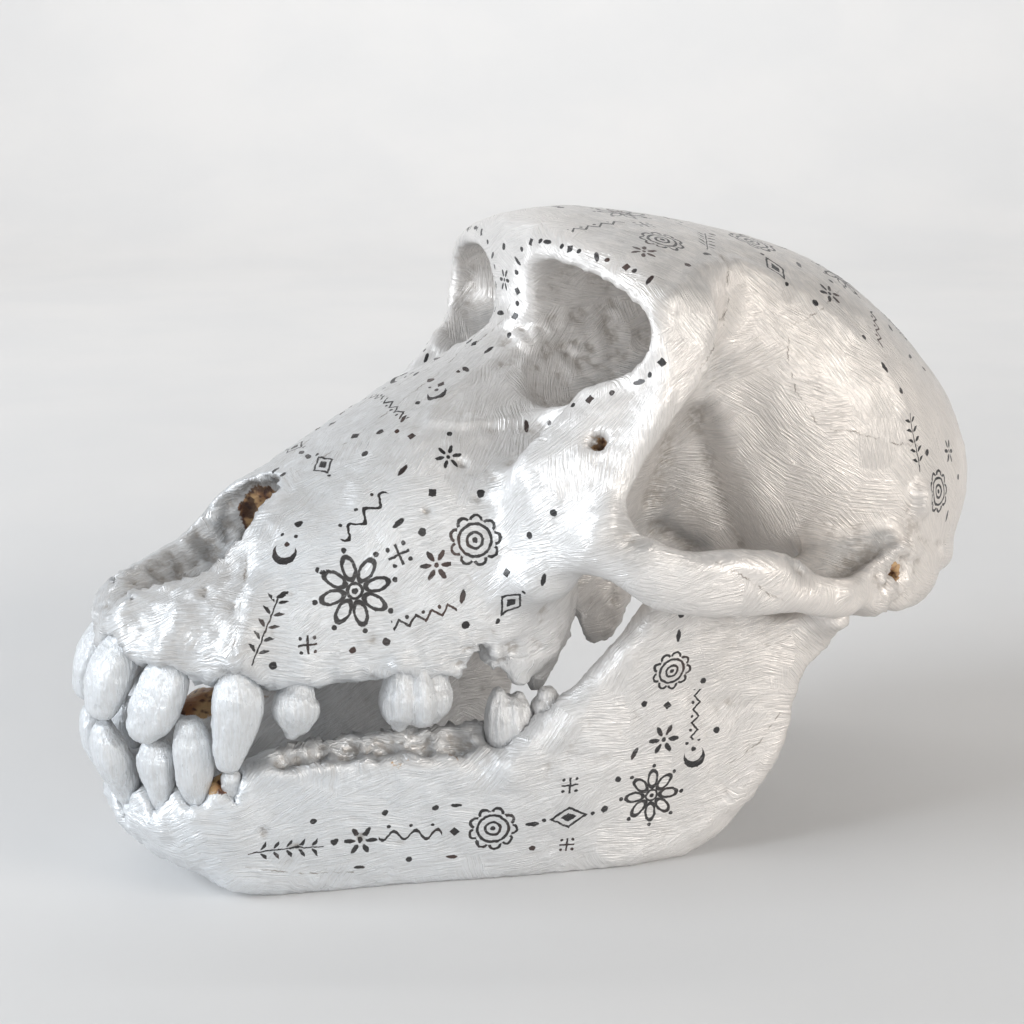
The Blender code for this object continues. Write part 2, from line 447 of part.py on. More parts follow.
def flipped(bm):
    twin = bm.copy()
    bmesh.ops.scale(twin, vec=(-1, 1, 1), verts=twin.verts)
    bmesh.ops.reverse_faces(twin, faces=twin.faces)
    return twin


def both(bm):
    return [bm, flipped(bm)]


def as_object(name, col, shells):
    """One object from several closed shells."""
    whole = bmesh.new()
    for bm in shells:
        part = bpy.data.meshes.new("shell")
        bm.to_mesh(part)
        whole.from_mesh(part)
        bpy.data.meshes.remove(part)
        bm.free()
    bmesh.ops.recalc_face_normals(whole, faces=whole.faces)
    mesh = bpy.data.meshes.new(name)
    whole.to_mesh(mesh)
    whole.free()
    ob = bpy.data.objects.new(name, mesh)
    col.objects.link(ob)
    return ob


def settle(ob):
    """Bake the object's modifiers into its mesh."""
    bpy.context.view_layer.update()
    graph = bpy.context.evaluated_depsgraph_get()
    mesh = bpy.data.meshes.new_from_object(ob.evaluated_get(graph))
    old = ob.data
    ob.modifiers.clear()
    ob.data = mesh
    bpy.data.meshes.remove(old)
    mesh.name = ob.name


def clay(ob, voxel):
    remesh = ob.modifiers.new("Clay", "REMESH")
    remesh.mode = "VOXEL"
    remesh.voxel_size = voxel * MM
    remesh.adaptivity = 0.0


def swell(ob, reach):
    push = ob.modifiers.new("Swell", "DISPLACE")
    push.direction = "NORMAL"
    push.mid_level = 0.0
    push.strength = reach * MM


def fuse(ob, voxel, rounds, close=0.0):
    """Join overlapping shells into one skin; close fills the creases between them."""
    clay(ob, voxel)
    if close:
        swell(ob, close)
        clay(ob, voxel)
        swell(ob, -close)
        clay(ob, voxel)
    soft = ob.modifiers.new("Thumbed", "SMOOTH")
    soft.factor = 0.5
    soft.iterations = rounds
    settle(ob)


def cut(ob, cutter, overlapping=False):
    hole = ob.modifiers.new("Hollow", "BOOLEAN")
    hole.operation = "DIFFERENCE"
    hole.solver = "EXACT"
    hole.object = cutter
    hole.use_self = overlapping
    settle(ob)


def thin_out(ob, triangles):
    tri = ob.modifiers.new("Facets", "TRIANGULATE")
    count = sum(len(p.vertices) - 2 for p in ob.data.polygons)
    less = ob.modifiers.new("Fewer", "DECIMATE")
    less.ratio = min(1.0, triangles / count)
    settle(ob)


def tidy(ob, mat):
    """Weld, drop specks, turn the faces out, and give the paint."""
    bm = bmesh.new()
    bm.from_mesh(ob.data)
    bmesh.ops.remove_doubles(bm, verts=bm.verts, dist=1e-7)
    bmesh.ops.dissolve_degenerate(bm, edges=bm.edges, dist=1e-7)
    islands = []
    seen = set()
    for face in bm.faces:
        if face in seen:
            continue
        group = [face]
        seen.add(face)
        for f in group:
            for e in f.edges:
                for g in e.link_faces:
                    if g not in seen:
                        seen.add(g)
                        group.append(g)
        islands.append(group)
    islands.sort(key=len)
    for group in islands[:-1]:
        bmesh.ops.delete(bm, geom=group, context="FACES")
    bmesh.ops.recalc_face_normals(bm, faces=bm.faces)
    bm.to_mesh(ob.data)
    bm.free()
    ob.data.materials.clear()
    ob.data.materials.append(mat)


def tooth_shells(spec, grow=0.0, mirror=False):
    """Crown and root stub of a tooth; with grow, swollen all round to cut its socket."""
    angle, masses = spec
    wide = (math.cos(math.radians(angle)), math.sin(math.radians(angle)), 0.0)
    shells = []
    if grow and len(masses) > 1:
        grow += 0.3
    for rows in masses:
        if grow:
            rows = [(x, y, z, w + grow, d + grow) for x, y, z, w, d in rows]
            first, second = Vector(rows[0][:3]), Vector(rows[1][:3])
            back = first + (first - second).normalized() * grow
            rows[0] = tuple(back) + rows[0][3:]
        bm = rod(rows, wide, steps=1, sides=TOOTH_SIDES, domes=(False, True))
        shells.append(flipped(bm) if mirror else bm)
    return shells


def ramus_x(y, z):
    """How far out the ramus plate stands: wider towards the back and the top."""
    return 29.0 + 0.09 * (y - 4.0) + 0.1 * (z - 8.0) * max(0.0, 1.0 - z / 120.0)


def orbit_cup():
    """Cutter for the left eye socket, its outline shrinking as it goes in."""
    rows = []
    for y, size, mx, mz in ORBIT_DEPTH:
        row = [y]
        for x, z in ORBIT_RIM:
            row += [mx + (x - 20.5) * size, mz + (z - 86.0) * size]
        rows.append(row)
    rings = []
    for row in along(rows, 3):
        flat = round_ring(row[1:].reshape(-1, 2), 2)
        rings.append([(x, row[0], z) for x, z in flat])
    return skin(rings)


def build_cranium(col, tools):
    shells = [mirrored_loft(MUZZLE), mirrored_loft(VAULT)]
    shells += both(rod(BROW_RING, (1, 0, 0.2)))
    shells += both(rod(BAR, (0, 1, 0.2)))
    shells += both(rod(CHEEK, (0.72, 0.69, 0)))
    shells += both(rod(ARCH, (0, 0, 1)))
    shells += both(rod(CREST, (0, 0, 1)))
    shells += both(rod(EAR_TUBE, (0, 0, 1)))
    shells += both(rod(PTERYGOID, (0, 1, 0)))
    shells += both(rod(HAMULUS, (0, 1, 0)))
    shells += both(rod(TUBEROSITY, (0, 1, 0)))
    shells += both(hull([(43.0, 36.5, 46.0), (33.0, 31.0, 49.5), (33.0, 45.0, 51.5),
        (35.0, 53.0, 51.0),
                         (41.0, 42.0, 45.0), (32.0, 36.0, 42.0), (33.0, 50.0, 44.0),
                             (30.0, 44.0, 50.0)]))
    shells += both(ball((30.0, -9.0, 51.5), (5.0, 6.0, 4.5)))
    shells += both(ball((29.4, 61.0, 43.6), (5.0, 9.4, 6.8), (0, 0, 35)))
    shells += both(ball((33.4, 55.6, 43.0), (3.6, 5.2, 5.4), (0, 0, 25)))
    shells += both(ball((34.6, 58.8, 57.0), (1.8, 2.2, 3.4), (0, 10, 30)))
    shells += both(ball((9.0, 67.0, 40.0), (4.0, 6.0, 4.0), (25, 0, -20)))
    shells += [ball((0.0, 30.0, 44.0), (9.0, 26.0, 6.0))]
    ob = as_object("cranium", col, shells)
    fuse(ob, VOXEL, 5, CLOSE)

    hollows = both(orbit_cup())
    hollows += [rod(NOSE, (1, 0, 0), sides=20), rod(PALATE, (1, 0, 0), sides=20)]
    hollows += [hull(BROKEN_ROW), rod(BRAIN, (1, 0, 0), sides=28), rod(GREAT_HOLE, (1, 0, 0), sides=18)]
    tool = as_object("cranium_hollows", tools, hollows)
    fuse(tool, 1.0, 1)
    cut(ob, tool)
    return ob


def build_mandible(col, tools):
    shells = [mirrored_loft(CHIN)]
    shells += both(side_loft(BODY))
    shells += both(plate(RAMUS, ramus_x, RAMUS_HALF))
    shells += both(ball((36.5, 38.6, 40.2), (6.0, 3.4, 2.8), (0, -4, 12)))
    shells += both(rod(OBLIQUE_LINE, (0, 1, 0)))
    ob = as_object("mandible", col, shells)
    fuse(ob, VOXEL, 4, CLOSE)
    # The row of empty sockets along the left and right tooth row.
    hollows = []
    row = [(19.0, -47.5, 25.5, 2.2), (19.6, -42.5, 25.5, 2.3), (20.4, -37.0, 25.6, 2.4),
        (21.2, -31.5, 25.6, 2.5),
           (22.2, -26.0, 25.0, 2.6), (23.4, -20.6, 24.4, 2.7)]
    for x, y, z, r in row:
        hollows += both(ball((x, y, z), (r, 2.9, 4.6), (0, 6, 0)))
    # The corner that is gone from the far side of the jaw.
    hollows += [hull([(-20.0, 15.0, -4.0), (-50.0, 15.0, -4.0), (-20.0, 12.5, 6.0),
        (-50.0, 12.5, 6.0),
                      (-20.0, 14.0, 15.0), (-50.0, 14.0, 15.0), (-20.0, 26.0, 24.0),
                          (-50.0, 26.0, 24.0),
                      (-20.0, 50.0, 31.0), (-50.0, 50.0, 31.0), (-20.0, 50.0, -4.0),
                          (-50.0, 50.0, -4.0)])]
    tool = as_object("mandible_hollows", tools, hollows)
    fuse(tool, 0.8, 1)
    cut(ob, tool)
    fuse(ob, VOXEL, 1)
    return ob


def table_cut(ob, tools):
    """Flatten the lower border where the jaw lies on the table."""
    slab = bmesh.new()
    place = Matrix.Translation((0.0, 0.0, (BASE_CUT - 20.0) * MM))
    bmesh.ops.create_cube(slab, size=1.0, matrix=place @ Matrix.Diagonal((0.3, 0.4, 0.04, 1.0)))
    cut(ob, as_object("table_cutter", tools, [slab]))


def seat_joint(cranium, mandible, tools):
    """Room in the underside of the skull for the heads of the jaw."""
    head = bpy.data.objects.new("jaw_room", mandible.data.copy())
    tools.objects.link(head)
    clay(head, VOXEL)
    swell(head, JOINT_ROOM)
    clay(head, VOXEL)
    settle(head)
    cut(cranium, head)
    fuse(cranium, VOXEL, 2)


def centre(col, tools):
    """Parent everything to one empty that brings the middle of the skull's box over the origin."""
    points = [v.co for ob in col.objects for v in ob.data.vertices]
    middle = [(min(p[k] for p in points) + max(p[k] for p in points)) / 2 for k in (0, 1)]
    holder = bpy.data.objects.new("skull_frame", None)
    holder.empty_display_size = 0.02
    holder.location = (-middle[0], -middle[1], 0.0)
    for ob in list(col.objects) + list(tools.objects):
        ob.parent = holder
    col.objects.link(holder)


def main():
    clear_scene()
    col = collection("baboon_skull")
    tools = collection("cutters")
    bone = paint("painted_bone", BONE_PAINT)
    cranium = build_cranium(col, tools)
    mandible = build_mandible(col, tools)
    seat_joint(cranium, mandible, tools)
    thin_out(cranium, CRANIUM_TRIS)
    thin_out(mandible, MANDIBLE_TRIS)
    table_cut(mandible, tools)
    for jaw, start in ((cranium, "upper"), (mandible, "lower")):
        sockets = []
        for name, spec in TEETH.items():
            if name.startswith(start):
                sockets += tooth_shells(spec, GAP) + tooth_shells(spec, GAP, True)
        if start == "upper":
            sockets += both(hull(EAR_SLIT))
        cut(jaw, as_object(start + "_sockets", tools, sockets), True)
    tidy(cranium, bone)
    mandible_paint = paint("painted_jaw", BONE_PAINT)
    tidy(mandible, mandible_paint)
    for name, spec in TEETH.items():
        for side, mirror in (("left", False), ("right", True)):
            ob = as_object(name + "_" + side, col, tooth_shells(spec, 0.0, mirror))
            if len(spec[1]) > 1:
                fuse(ob, 0.45, 2)
                thin_out(ob, TOOTH_TRIS)
            tidy(ob, paint("paint_" + ob.name, TOOTH_PAINT))
    centre(col, tools)
    for ob in tools.objects:
        ob.hide_render = True
        ob.display_type = "WIRE"


main()
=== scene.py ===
"""Looks of the painted baboon skull: the two bones and the teeth in full detail, satin pearl
paint with black ink ornaments, bare bone where no brush reached, a pale table and soft light."""

import math

import bmesh
import bpy
import numpy as np
from mathutils import Matrix, Vector, kdtree, noise
from mathutils.bvhtree import BVHTree


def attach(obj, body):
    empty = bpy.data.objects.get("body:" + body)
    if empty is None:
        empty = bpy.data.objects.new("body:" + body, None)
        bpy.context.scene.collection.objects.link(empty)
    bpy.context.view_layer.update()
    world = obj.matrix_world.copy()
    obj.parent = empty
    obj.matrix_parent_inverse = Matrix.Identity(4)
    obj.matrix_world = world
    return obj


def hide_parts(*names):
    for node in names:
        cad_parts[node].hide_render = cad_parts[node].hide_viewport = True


bl_info = {
    "name": "Painted baboon skull",
    "version": (1, 0, 0),
    "blender": (4, 5, 0),
    "location": "View3D > Sidebar > Skull",
    "description": "Builds a painted baboon skull with its jaw and teeth on a pale table",
    "category": "Add Mesh",
}

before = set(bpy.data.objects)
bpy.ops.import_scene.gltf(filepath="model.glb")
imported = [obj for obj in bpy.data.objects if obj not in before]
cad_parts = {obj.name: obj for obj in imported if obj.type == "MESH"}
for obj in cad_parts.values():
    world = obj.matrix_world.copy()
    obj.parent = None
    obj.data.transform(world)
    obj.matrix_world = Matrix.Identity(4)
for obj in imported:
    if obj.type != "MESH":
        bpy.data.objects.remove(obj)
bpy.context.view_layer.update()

MM = 0.001
SHIFT = Vector((0.05, -5.566, 0.0)) * MM    # from the modelling frame to the middle of the box
GAP = 0.3               # air round a tooth in its socket, mm
JOINT_ROOM = 1.0        # air between the heads of the jaw and the skull, mm
CLOSE = 2.3             # creases between the masses are filled to about this radius, mm
LOFT_STEPS = 5          # rings from one outline to the next
RING_STEPS = 3          # points from one point of an outline to the next

CAMERA_AZIMUTH = 64.728     # degrees round from the muzzle, towards the skull's left
CAMERA_ELEVATION = 14.197
CAMERA_REACH = 0.300        # from the point it looks at
CAMERA_TARGET = Vector((0.0, 0.0, 53.487)) * MM
CAMERA_LENS = 61.979
CAMERA_SENSOR = 36.0

# Half outlines of the muzzle at stations along Y, from the middle of the palate round to the
# middle of the bridge: y, then x, z pairs.
MUZZLE = [
    (-71.0, [(0, 40.5), (2, 40.5), (4, 40.8), (5.5, 41.4), (6, 42.2), (5.5, 43.0), (4.4, 43.6),
        (3, 43.9), (1.5, 44.1), (0, 44.1)]),
    (-68.5, [(0, 39.0), (3, 39.0), (6, 39.3), (8.8, 40.0), (9.8, 41.6), (9.4, 43.4),
        (7.6, 44.9), (5, 45.8), (2.5, 46.2), (0, 46.3)]),
    (-64.5, [(0, 37.5), (4, 37.5), (9, 38.0), (12.8, 38.8), (14.2, 41.0), (13.5, 43.8),
        (11.2, 46.3), (7.8, 47.9), (4, 48.8), (0, 49.0)]),
    (-60.0, [(0, 36.5), (5, 36.5), (12, 36.5), (16.4, 37.6), (17.8, 40.6), (16.9, 44.4),
        (13.6, 48.0), (9.4, 50.4), (5, 51.7), (0, 52.2)]),
    (-55.5, [(0, 37.0), (6, 36.5), (14, 36.0), (19.2, 37.0), (20.8, 40.5), (19.5, 45.0),
        (15.6, 48.8), (11.0, 51.4), (6, 53.4), (0, 54.4)]),
    (-50.0, [(0, 38.5), (7, 38.0), (15, 36.0), (20.6, 36.2), (22.3, 39.5), (21.3, 46.0),
        (17.6, 51.8), (12.4, 56.2), (6.6, 58.8), (0, 59.8)]),
    (-46.0, [(0, 39.5), (7, 39.0), (15.5, 36.1), (21.3, 36.1), (23.0, 39.5), (22.1, 47.4),
        (18.6, 54.4), (13.0, 59.4), (7, 62.0), (0, 62.8)]),
    (-42.0, [(0, 40.5), (7, 40.0), (16, 36.2), (22.0, 36.0), (23.6, 39.5), (22.7, 48.5),
        (19.6, 56.3), (13.6, 61.2), (7, 63.3), (0, 64.0)]),
    (-34.0, [(0, 42.0), (7, 41.5), (17, 36.2), (23.5, 35.9), (25.2, 40.0), (24.2, 50.5),
        (21.0, 59.5), (14.6, 65.2), (7, 67.8), (0, 68.6)]),
    (-26.0, [(0, 43.0), (7, 42.5), (17.5, 36.0), (25.0, 35.5), (26.7, 40.0), (25.9, 51.5),
        (22.6, 62.0), (15.4, 69.0), (7.5, 72.2), (0, 73.2)]),
    (-18.0, [(0, 44.0), (7, 43.0), (17, 36.6), (25.4, 36.0), (27.6, 41.0), (27.4, 52.0),
        (23.8, 63.0), (16.2, 71.6), (8, 76.0), (0, 77.2)]),
    (-10.0, [(0, 45.0), (7, 44.0), (16, 38.5), (24.0, 38.0), (27.5, 43.0), (28.5, 53.0),
        (25.0, 64.5), (16.0, 73.4), (7.6, 79.4), (0, 81.2)]),
    (-3.0, [(0, 46.0), (7, 45.0), (14, 41.5), (19.5, 42.0), (22.0, 46.0), (24.0, 55.0),
        (24.0, 65.0), (16.0, 73.0), (6.6, 82.5), (0, 86.4)]),
    (4.0, [(0, 47.0), (6, 46.0), (11, 45.0), (15.0, 46.0), (17.0, 49.0), (19.0, 56.0),
        (20.0, 65.0), (15.0, 72.0), (6.4, 84.0), (0, 90.0)]),
]

# The same for the brow, the back of the face and the braincase.
VAULT = [
    (-1.4, [(0, 90), (1.2, 90), (2.0, 90.6), (2.8, 92), (3.8, 94), (5.6, 96.4), (8.6, 98.2),
        (12, 99.4), (11, 100.4), (8, 101.2), (4.5, 101.7), (0, 101.9)]),
    (1.2, [(0, 62), (4, 62), (6.4, 65), (7.6, 70), (7.6, 77), (7.4, 86), (9, 94), (22.5, 98),
        (21.5, 99.9), (16, 101.4), (8.5, 103), (0, 103.6)]),
    (6.0, [(0, 50), (8, 50), (14, 52), (19, 58), (24, 66), (31.4, 75), (35.6, 82.5), (37.4, 88.5),
        (35.9, 94.4), (29, 98.8), (17, 101.9), (0, 104.6)]),
    (12.0, [(0, 46), (8, 46), (14, 49), (18, 56), (22, 64), (27.6, 73), (34.4, 81), (37.4, 88.5),
        (36.4, 93.6), (29.6, 98.6), (18, 102.2), (0, 104.6)]),
    (17.0, [(0, 44), (8, 44), (12.5, 48), (16, 56), (19.5, 64), (23.0, 73), (28.8, 81),
        (34.2, 88.5), (34.2, 93.2), (28.8, 98.2), (17.6, 102), (0, 104.0)]),
    (22.0, [(0, 42), (8, 42), (12, 47), (15.5, 55), (18.5, 63), (21.5, 72), (24.6, 80.5),
        (29.0, 88.5), (30.2, 93.8), (26.6, 98.0), (16.6, 101.6), (0, 103.3)]),
    (28.0, [(0, 41), (8, 41), (13, 45), (18, 53), (21.5, 62), (24, 71), (25.6, 80),
        (26.8, 87.5), (26.4, 93), (23.4, 97.0), (14.5, 100.6), (0, 102.3)]),
    (35.0, [(0, 40), (9, 40), (17, 44), (24, 51), (28.3, 60), (30.0, 69), (30.3, 77.5),
        (29.4, 85), (27, 91), (22.5, 95.8), (13.3, 99.6), (0, 100.8)]),
    (43.0, [(0, 40), (10, 39.5), (21, 42.5), (30, 49), (33.6, 58), (34.4, 67), (33.6, 75.5),
        (31.3, 83), (27.6, 89), (22, 94), (12.8, 97.6), (0, 98.8)]),
    (51.0, [(0, 40), (11, 39), (23, 41), (32, 46.5), (35.3, 55), (35.7, 64), (34.4, 72.5),
        (31.5, 80), (27.1, 86.3), (21, 91.2), (12.2, 94.9), (0, 96)]),
    (59.0, [(0, 40), (11, 39), (22, 40), (31.5, 44), (35.2, 51.5), (35.2, 60.5), (33.4, 69),
        (30.1, 76.3), (25.4, 82.4), (19.5, 87), (11.1, 90.7), (0, 92)]),
    (67.0, [(0, 41), (10, 40), (19, 40), (27.5, 42.8), (31.6, 49.5), (31.7, 57.5), (29.6, 65.3),
        (26.4, 72), (22, 77.6), (16.6, 82), (9.4, 85.3), (0, 86.6)]),
    (75.0, [(0, 43.5), (7, 42.5), (14, 42), (20.5, 43.8), (25, 49), (26, 55.5), (24.6, 62),
        (21.7, 67.7), (17.9, 72.4), (13.3, 76), (7.2, 78.8), (0, 80)]),
    (81.0, [(0, 48), (5.5, 47), (10.5, 46.7), (15, 48.4), (18.4, 52), (19.2, 57), (18, 61.6),
        (15.6, 65.7), (12.6, 69), (9, 71.7), (4.7, 73.5), (0, 74.3)]),
    (85.5, [(0, 54), (2.6, 53.5), (5.2, 53.5), (7.4, 54.6), (9, 56.4), (9.4, 58.8), (8.8, 61),
        (7.6, 62.9), (6, 64.4), (4.2, 65.6), (2.2, 66.3), (0, 66.6)]),
]

# Rods: x, y, z, half size along the wide direction, half size across it.
BROW_RING = [
    (13.0, 1.4, 99.4, 2.2, 2.0), (21.5, 4.7, 98.3, 2.4, 2.4), (30.4, 7.0, 96.2, 2.2, 2.2),
    (34.8, 7.8, 93.2, 2.2, 2.2), (36.9, 7.8, 89.0, 2.2, 2.2), (36.5, 7.0, 84.4, 2.3, 2.3),
    (33.4, 5.4, 80.6, 2.5, 2.5), (29.2, 3.8, 77.4, 2.8, 2.8), (24.0, 2.0, 74.6, 3.0, 3.0),
    (18.6, -0.2, 72.2, 3.2, 3.2), (13.2, -2.4, 72.0, 3.2, 3.2), (9.6, -3.0, 75.0, 2.4, 2.4),
]
BAR = [
    (33.8, 12.4, 93.4, 5.0, 2.6), (36.4, 12.2, 89.0, 5.2, 2.4), (37.8, 10.0, 83.0, 4.4, 2.6),
    (38.2, 6.2, 77.5, 3.4, 2.8), (37.8, 1.8, 72.0, 2.8, 2.6), (38.0, -2.6, 66.0, 3.0, 3.0),
]
CHEEK = [
    (33.0, 3.2, 78.0, 5.6, 3.0), (32.6, -1.7, 72.5, 7.4, 3.2), (33.0, -6.4, 66.5, 8.8, 3.6),
    (33.0, -6.6, 60.5, 10.2, 4.0), (33.4, -6.6, 55.4, 10.0, 3.8),
]
ARCH = [
    (38.5, -5.5, 59.6, 6.6, 3.6), (42.2, -0.9, 56.4, 5.0, 3.4), (44.3, 4.0, 52.9, 5.1, 3.2),
    (45.4, 9.0, 51.8, 5.4, 3.0), (46.0, 14.5, 51.3, 5.7, 2.9), (45.8, 20.5, 50.6, 5.5, 2.9),
    (45.2, 27.0, 49.4, 4.8, 2.8), (43.8, 33.0, 47.0, 4.2, 2.9), (41.8, 38.5, 45.2, 3.8, 3.2),
    (38.5, 42.5, 45.0, 3.4, 3.8),
]
CREST = [
    (42.2, 37.0, 46.4, 2.0, 1.8), (40.6, 42.0, 47.2, 2.1, 1.6), (38.6, 46.8, 48.8, 2.1, 1.6),
    (36.0, 52.0, 50.4, 2.2, 1.8), (33.6, 57.6, 49.8, 2.2, 2.0), (30.8, 63.0, 47.0, 2.4, 2.0),
    (27.0, 69.4, 44.4, 2.8, 2.2), (21.4, 74.4, 44.2, 2.4, 2.2), (11.0, 78.5, 46.5, 1.9, 2.0),
    (0.0, 81.0, 48.0, 2.0, 2.0),
]
EAR_TUBE = [(28.0, 46.4, 42.5, 4.0, 4.0), (34.0, 46.8, 42.8, 4.4, 4.0),
    (38.0, 47.4, 43.4, 4.2, 3.8)]
PTERYGOID = [(10.0, 10.0, 50.0, 10.0, 2.8), (10.8, 10.4, 42.0, 8.6, 2.6),
    (11.4, 9.4, 34.4, 5.0, 2.6)]
HAMULUS = [
    (19.5, -2.6, 48.0, 6.0, 2.6), (19.0, -2.2, 38.5, 4.2, 2.3), (18.7, -3.6, 33.0, 2.8, 2.0),
    (18.4, -4.6, 28.8, 1.8, 1.7),
]
TUBEROSITY = [
    (23.0, -8.0, 48.0, 7.5, 3.4), (24.2, -8.0, 40.0, 6.6, 2.4), (24.4, -10.6, 33.2, 2.4, 1.8),
]

# The eye socket: outline of the opening, then its size and middle at stations going in.
ORBIT_RIM = [
    (7.0, 90.5), (8.0, 95.2), (12.5, 97.6), (21.0, 97.0), (29.4, 95.2), (34.8, 92.2), (36.6, 88.6),
    (36.0, 84.8), (32.8, 81.6), (27.8, 78.8), (22.8, 76.2), (17.5, 74.3), (13.2, 74.0),
    (10.0, 76.5), (8.0, 80.5), (7.0, 85.5),
]
ORBIT_MIDDLE = (20.5, 86.0)
ORBIT_DEPTH = [
    (-14.0, 0.80, 26.0, 92.0), (-7.0, 0.90, 23.0, 88.6), (-2.5, 0.98, 21.0, 86.4),
    (3.0, 1.0, 20.5, 86.0), (7.0, 0.98, 20.3, 86.0), (12.0, 0.86, 18.7, 86.2),
    (17.0, 0.71, 17.1, 86.0), (21.5, 0.53, 15.2, 85.6), (24.5, 0.34, 14.2, 85.2),
    (26.5, 0.14, 13.6, 85.0),
]
# The nose: the opening, then the passage to the back of the palate.
NOSE = [
    (0.0, -70.0, 49.6, 2.0, 2.6), (0.0, -66.5, 50.0, 4.2, 4.2), (0.0, -62.0, 51.6, 6.8, 6.0),
    (0.0, -56.0, 53.6, 8.8, 7.8), (0.0, -50.0, 55.6, 9.0, 9.2), (0.0, -46.0, 56.2, 8.8, 9.0),
    (0.0, -42.0, 54.2, 8.0, 7.4), (0.0, -36.0, 54.6, 8.0, 8.0), (0.0, -20.0, 57.0, 8.6, 9.0),
    (0.0, -4.0, 54.0, 8.0, 7.0), (0.0, 6.0, 46.0, 7.0, 6.0), (0.0, 12.0, 38.0, 7.0, 6.0),
]
PALATE = [
    (0.0, -62.0, 33.5, 5.0, 3.0), (0.0, -54.0, 34.5, 12.0, 5.0), (0.0, -40.0, 35.5, 14.5, 6.5),
    (0.0, -22.0, 36.0, 16.0, 7.4), (0.0, -6.0, 36.0, 16.0, 8.0), (0.0, 4.0, 34.0, 15.0, 8.0),
]
# The room for the brain, and the great hole under the back of the head.
BRAIN = [
    (0.0, 31.5, 82.0, 9.0, 7.0), (0.0, 36.0, 77.5, 20.0, 16.0), (0.0, 43.0, 71.0, 28.5, 22.5),
    (0.0, 51.0, 68.5, 30.5, 22.5), (0.0, 59.0, 65.5, 29.5, 20.0), (0.0, 66.0, 63.0, 25.0, 16.5),
    (0.0, 72.0, 61.0, 18.0, 11.5), (0.0, 76.0, 60.0, 10.0, 6.5), (0.0, 78.0, 60.0, 3.0, 2.5),
]
GREAT_HOLE = [(0.0, 62.0, 60.0, 8.0, 7.0), (0.0, 68.0, 48.0, 7.5, 6.8), (0.0, 74.0, 32.0, 7.5, 7.0)]
# Slit behind the ear tube, and the notch broken out of the left tooth row (corner points).
EAR_SLIT = [
    (28.0, 49.6, 47.6), (36.0, 50.6, 48.4), (42.0, 51.6, 47.6), (42.0, 51.8, 43.6),
    (28.0, 51.2, 44.0), (42.0, 53.2, 47.4), (42.0, 53.4, 44.2), (30.0, 52.6, 45.0),
]
BROKEN_ROW = [
    (14.0, -21.6, 30.0), (34.0, -21.6, 30.0), (34.0, -20.4, 36.0), (34.0, -18.8, 41.2),
    (14.0, -18.8, 41.2), (34.0, -15.8, 40.0), (34.0, -14.8, 36.6), (14.0, -14.6, 30.0),
    (34.0, -13.4, 30.0),
]

# Half outlines of the chin and of the left half of the jaw body, y then x, z pairs.
CHIN = [
    (-70.6, [(0, 13.5), (2, 13.5), (3.8, 14.2), (4.8, 15.6), (4.4, 16.8), (2.6, 17.4),
        (1.2, 17.5), (0, 17.5)]),
    (-68.0, [(0, 9.6), (3.5, 9.8), (6.8, 11.0), (8.8, 13.6), (8.6, 16.6), (5.6, 18.0),
        (2.6, 18.2), (0, 18.2)]),
    (-64.5, [(0, 5.8), (5, 6.0), (9.6, 7.6), (12.8, 11.6), (13.6, 16.2), (10.0, 18.6),
        (4, 18.8), (0, 18.6)]),
    (-60.0, [(0, 2.4), (6.5, 2.6), (12.2, 4.6), (16.0, 10.0), (17.4, 16.4), (13.4, 19.6),
        (5, 18.6), (0, 17.4)]),
    (-55.5, [(0, 1.4), (7, 0.8), (13.6, 1.6), (17.4, 8.0), (18.8, 16.0), (16.0, 20.0),
        (6, 15.5), (0, 13.6)]),
    (-50.5, [(0, 2.6), (7, 0.4), (14.6, 0.2), (18.2, 7.0), (19.0, 17.0), (15.4, 22.0),
        (7.6, 12.4), (0, 9.6)]),
    (-46.5, [(0, 4.4), (7.6, 0.8), (15.4, -0.2), (19.2, 6.8), (20.4, 17.0), (17.0, 22.4),
        (10.6, 12.0), (0, 7.4)]),
]
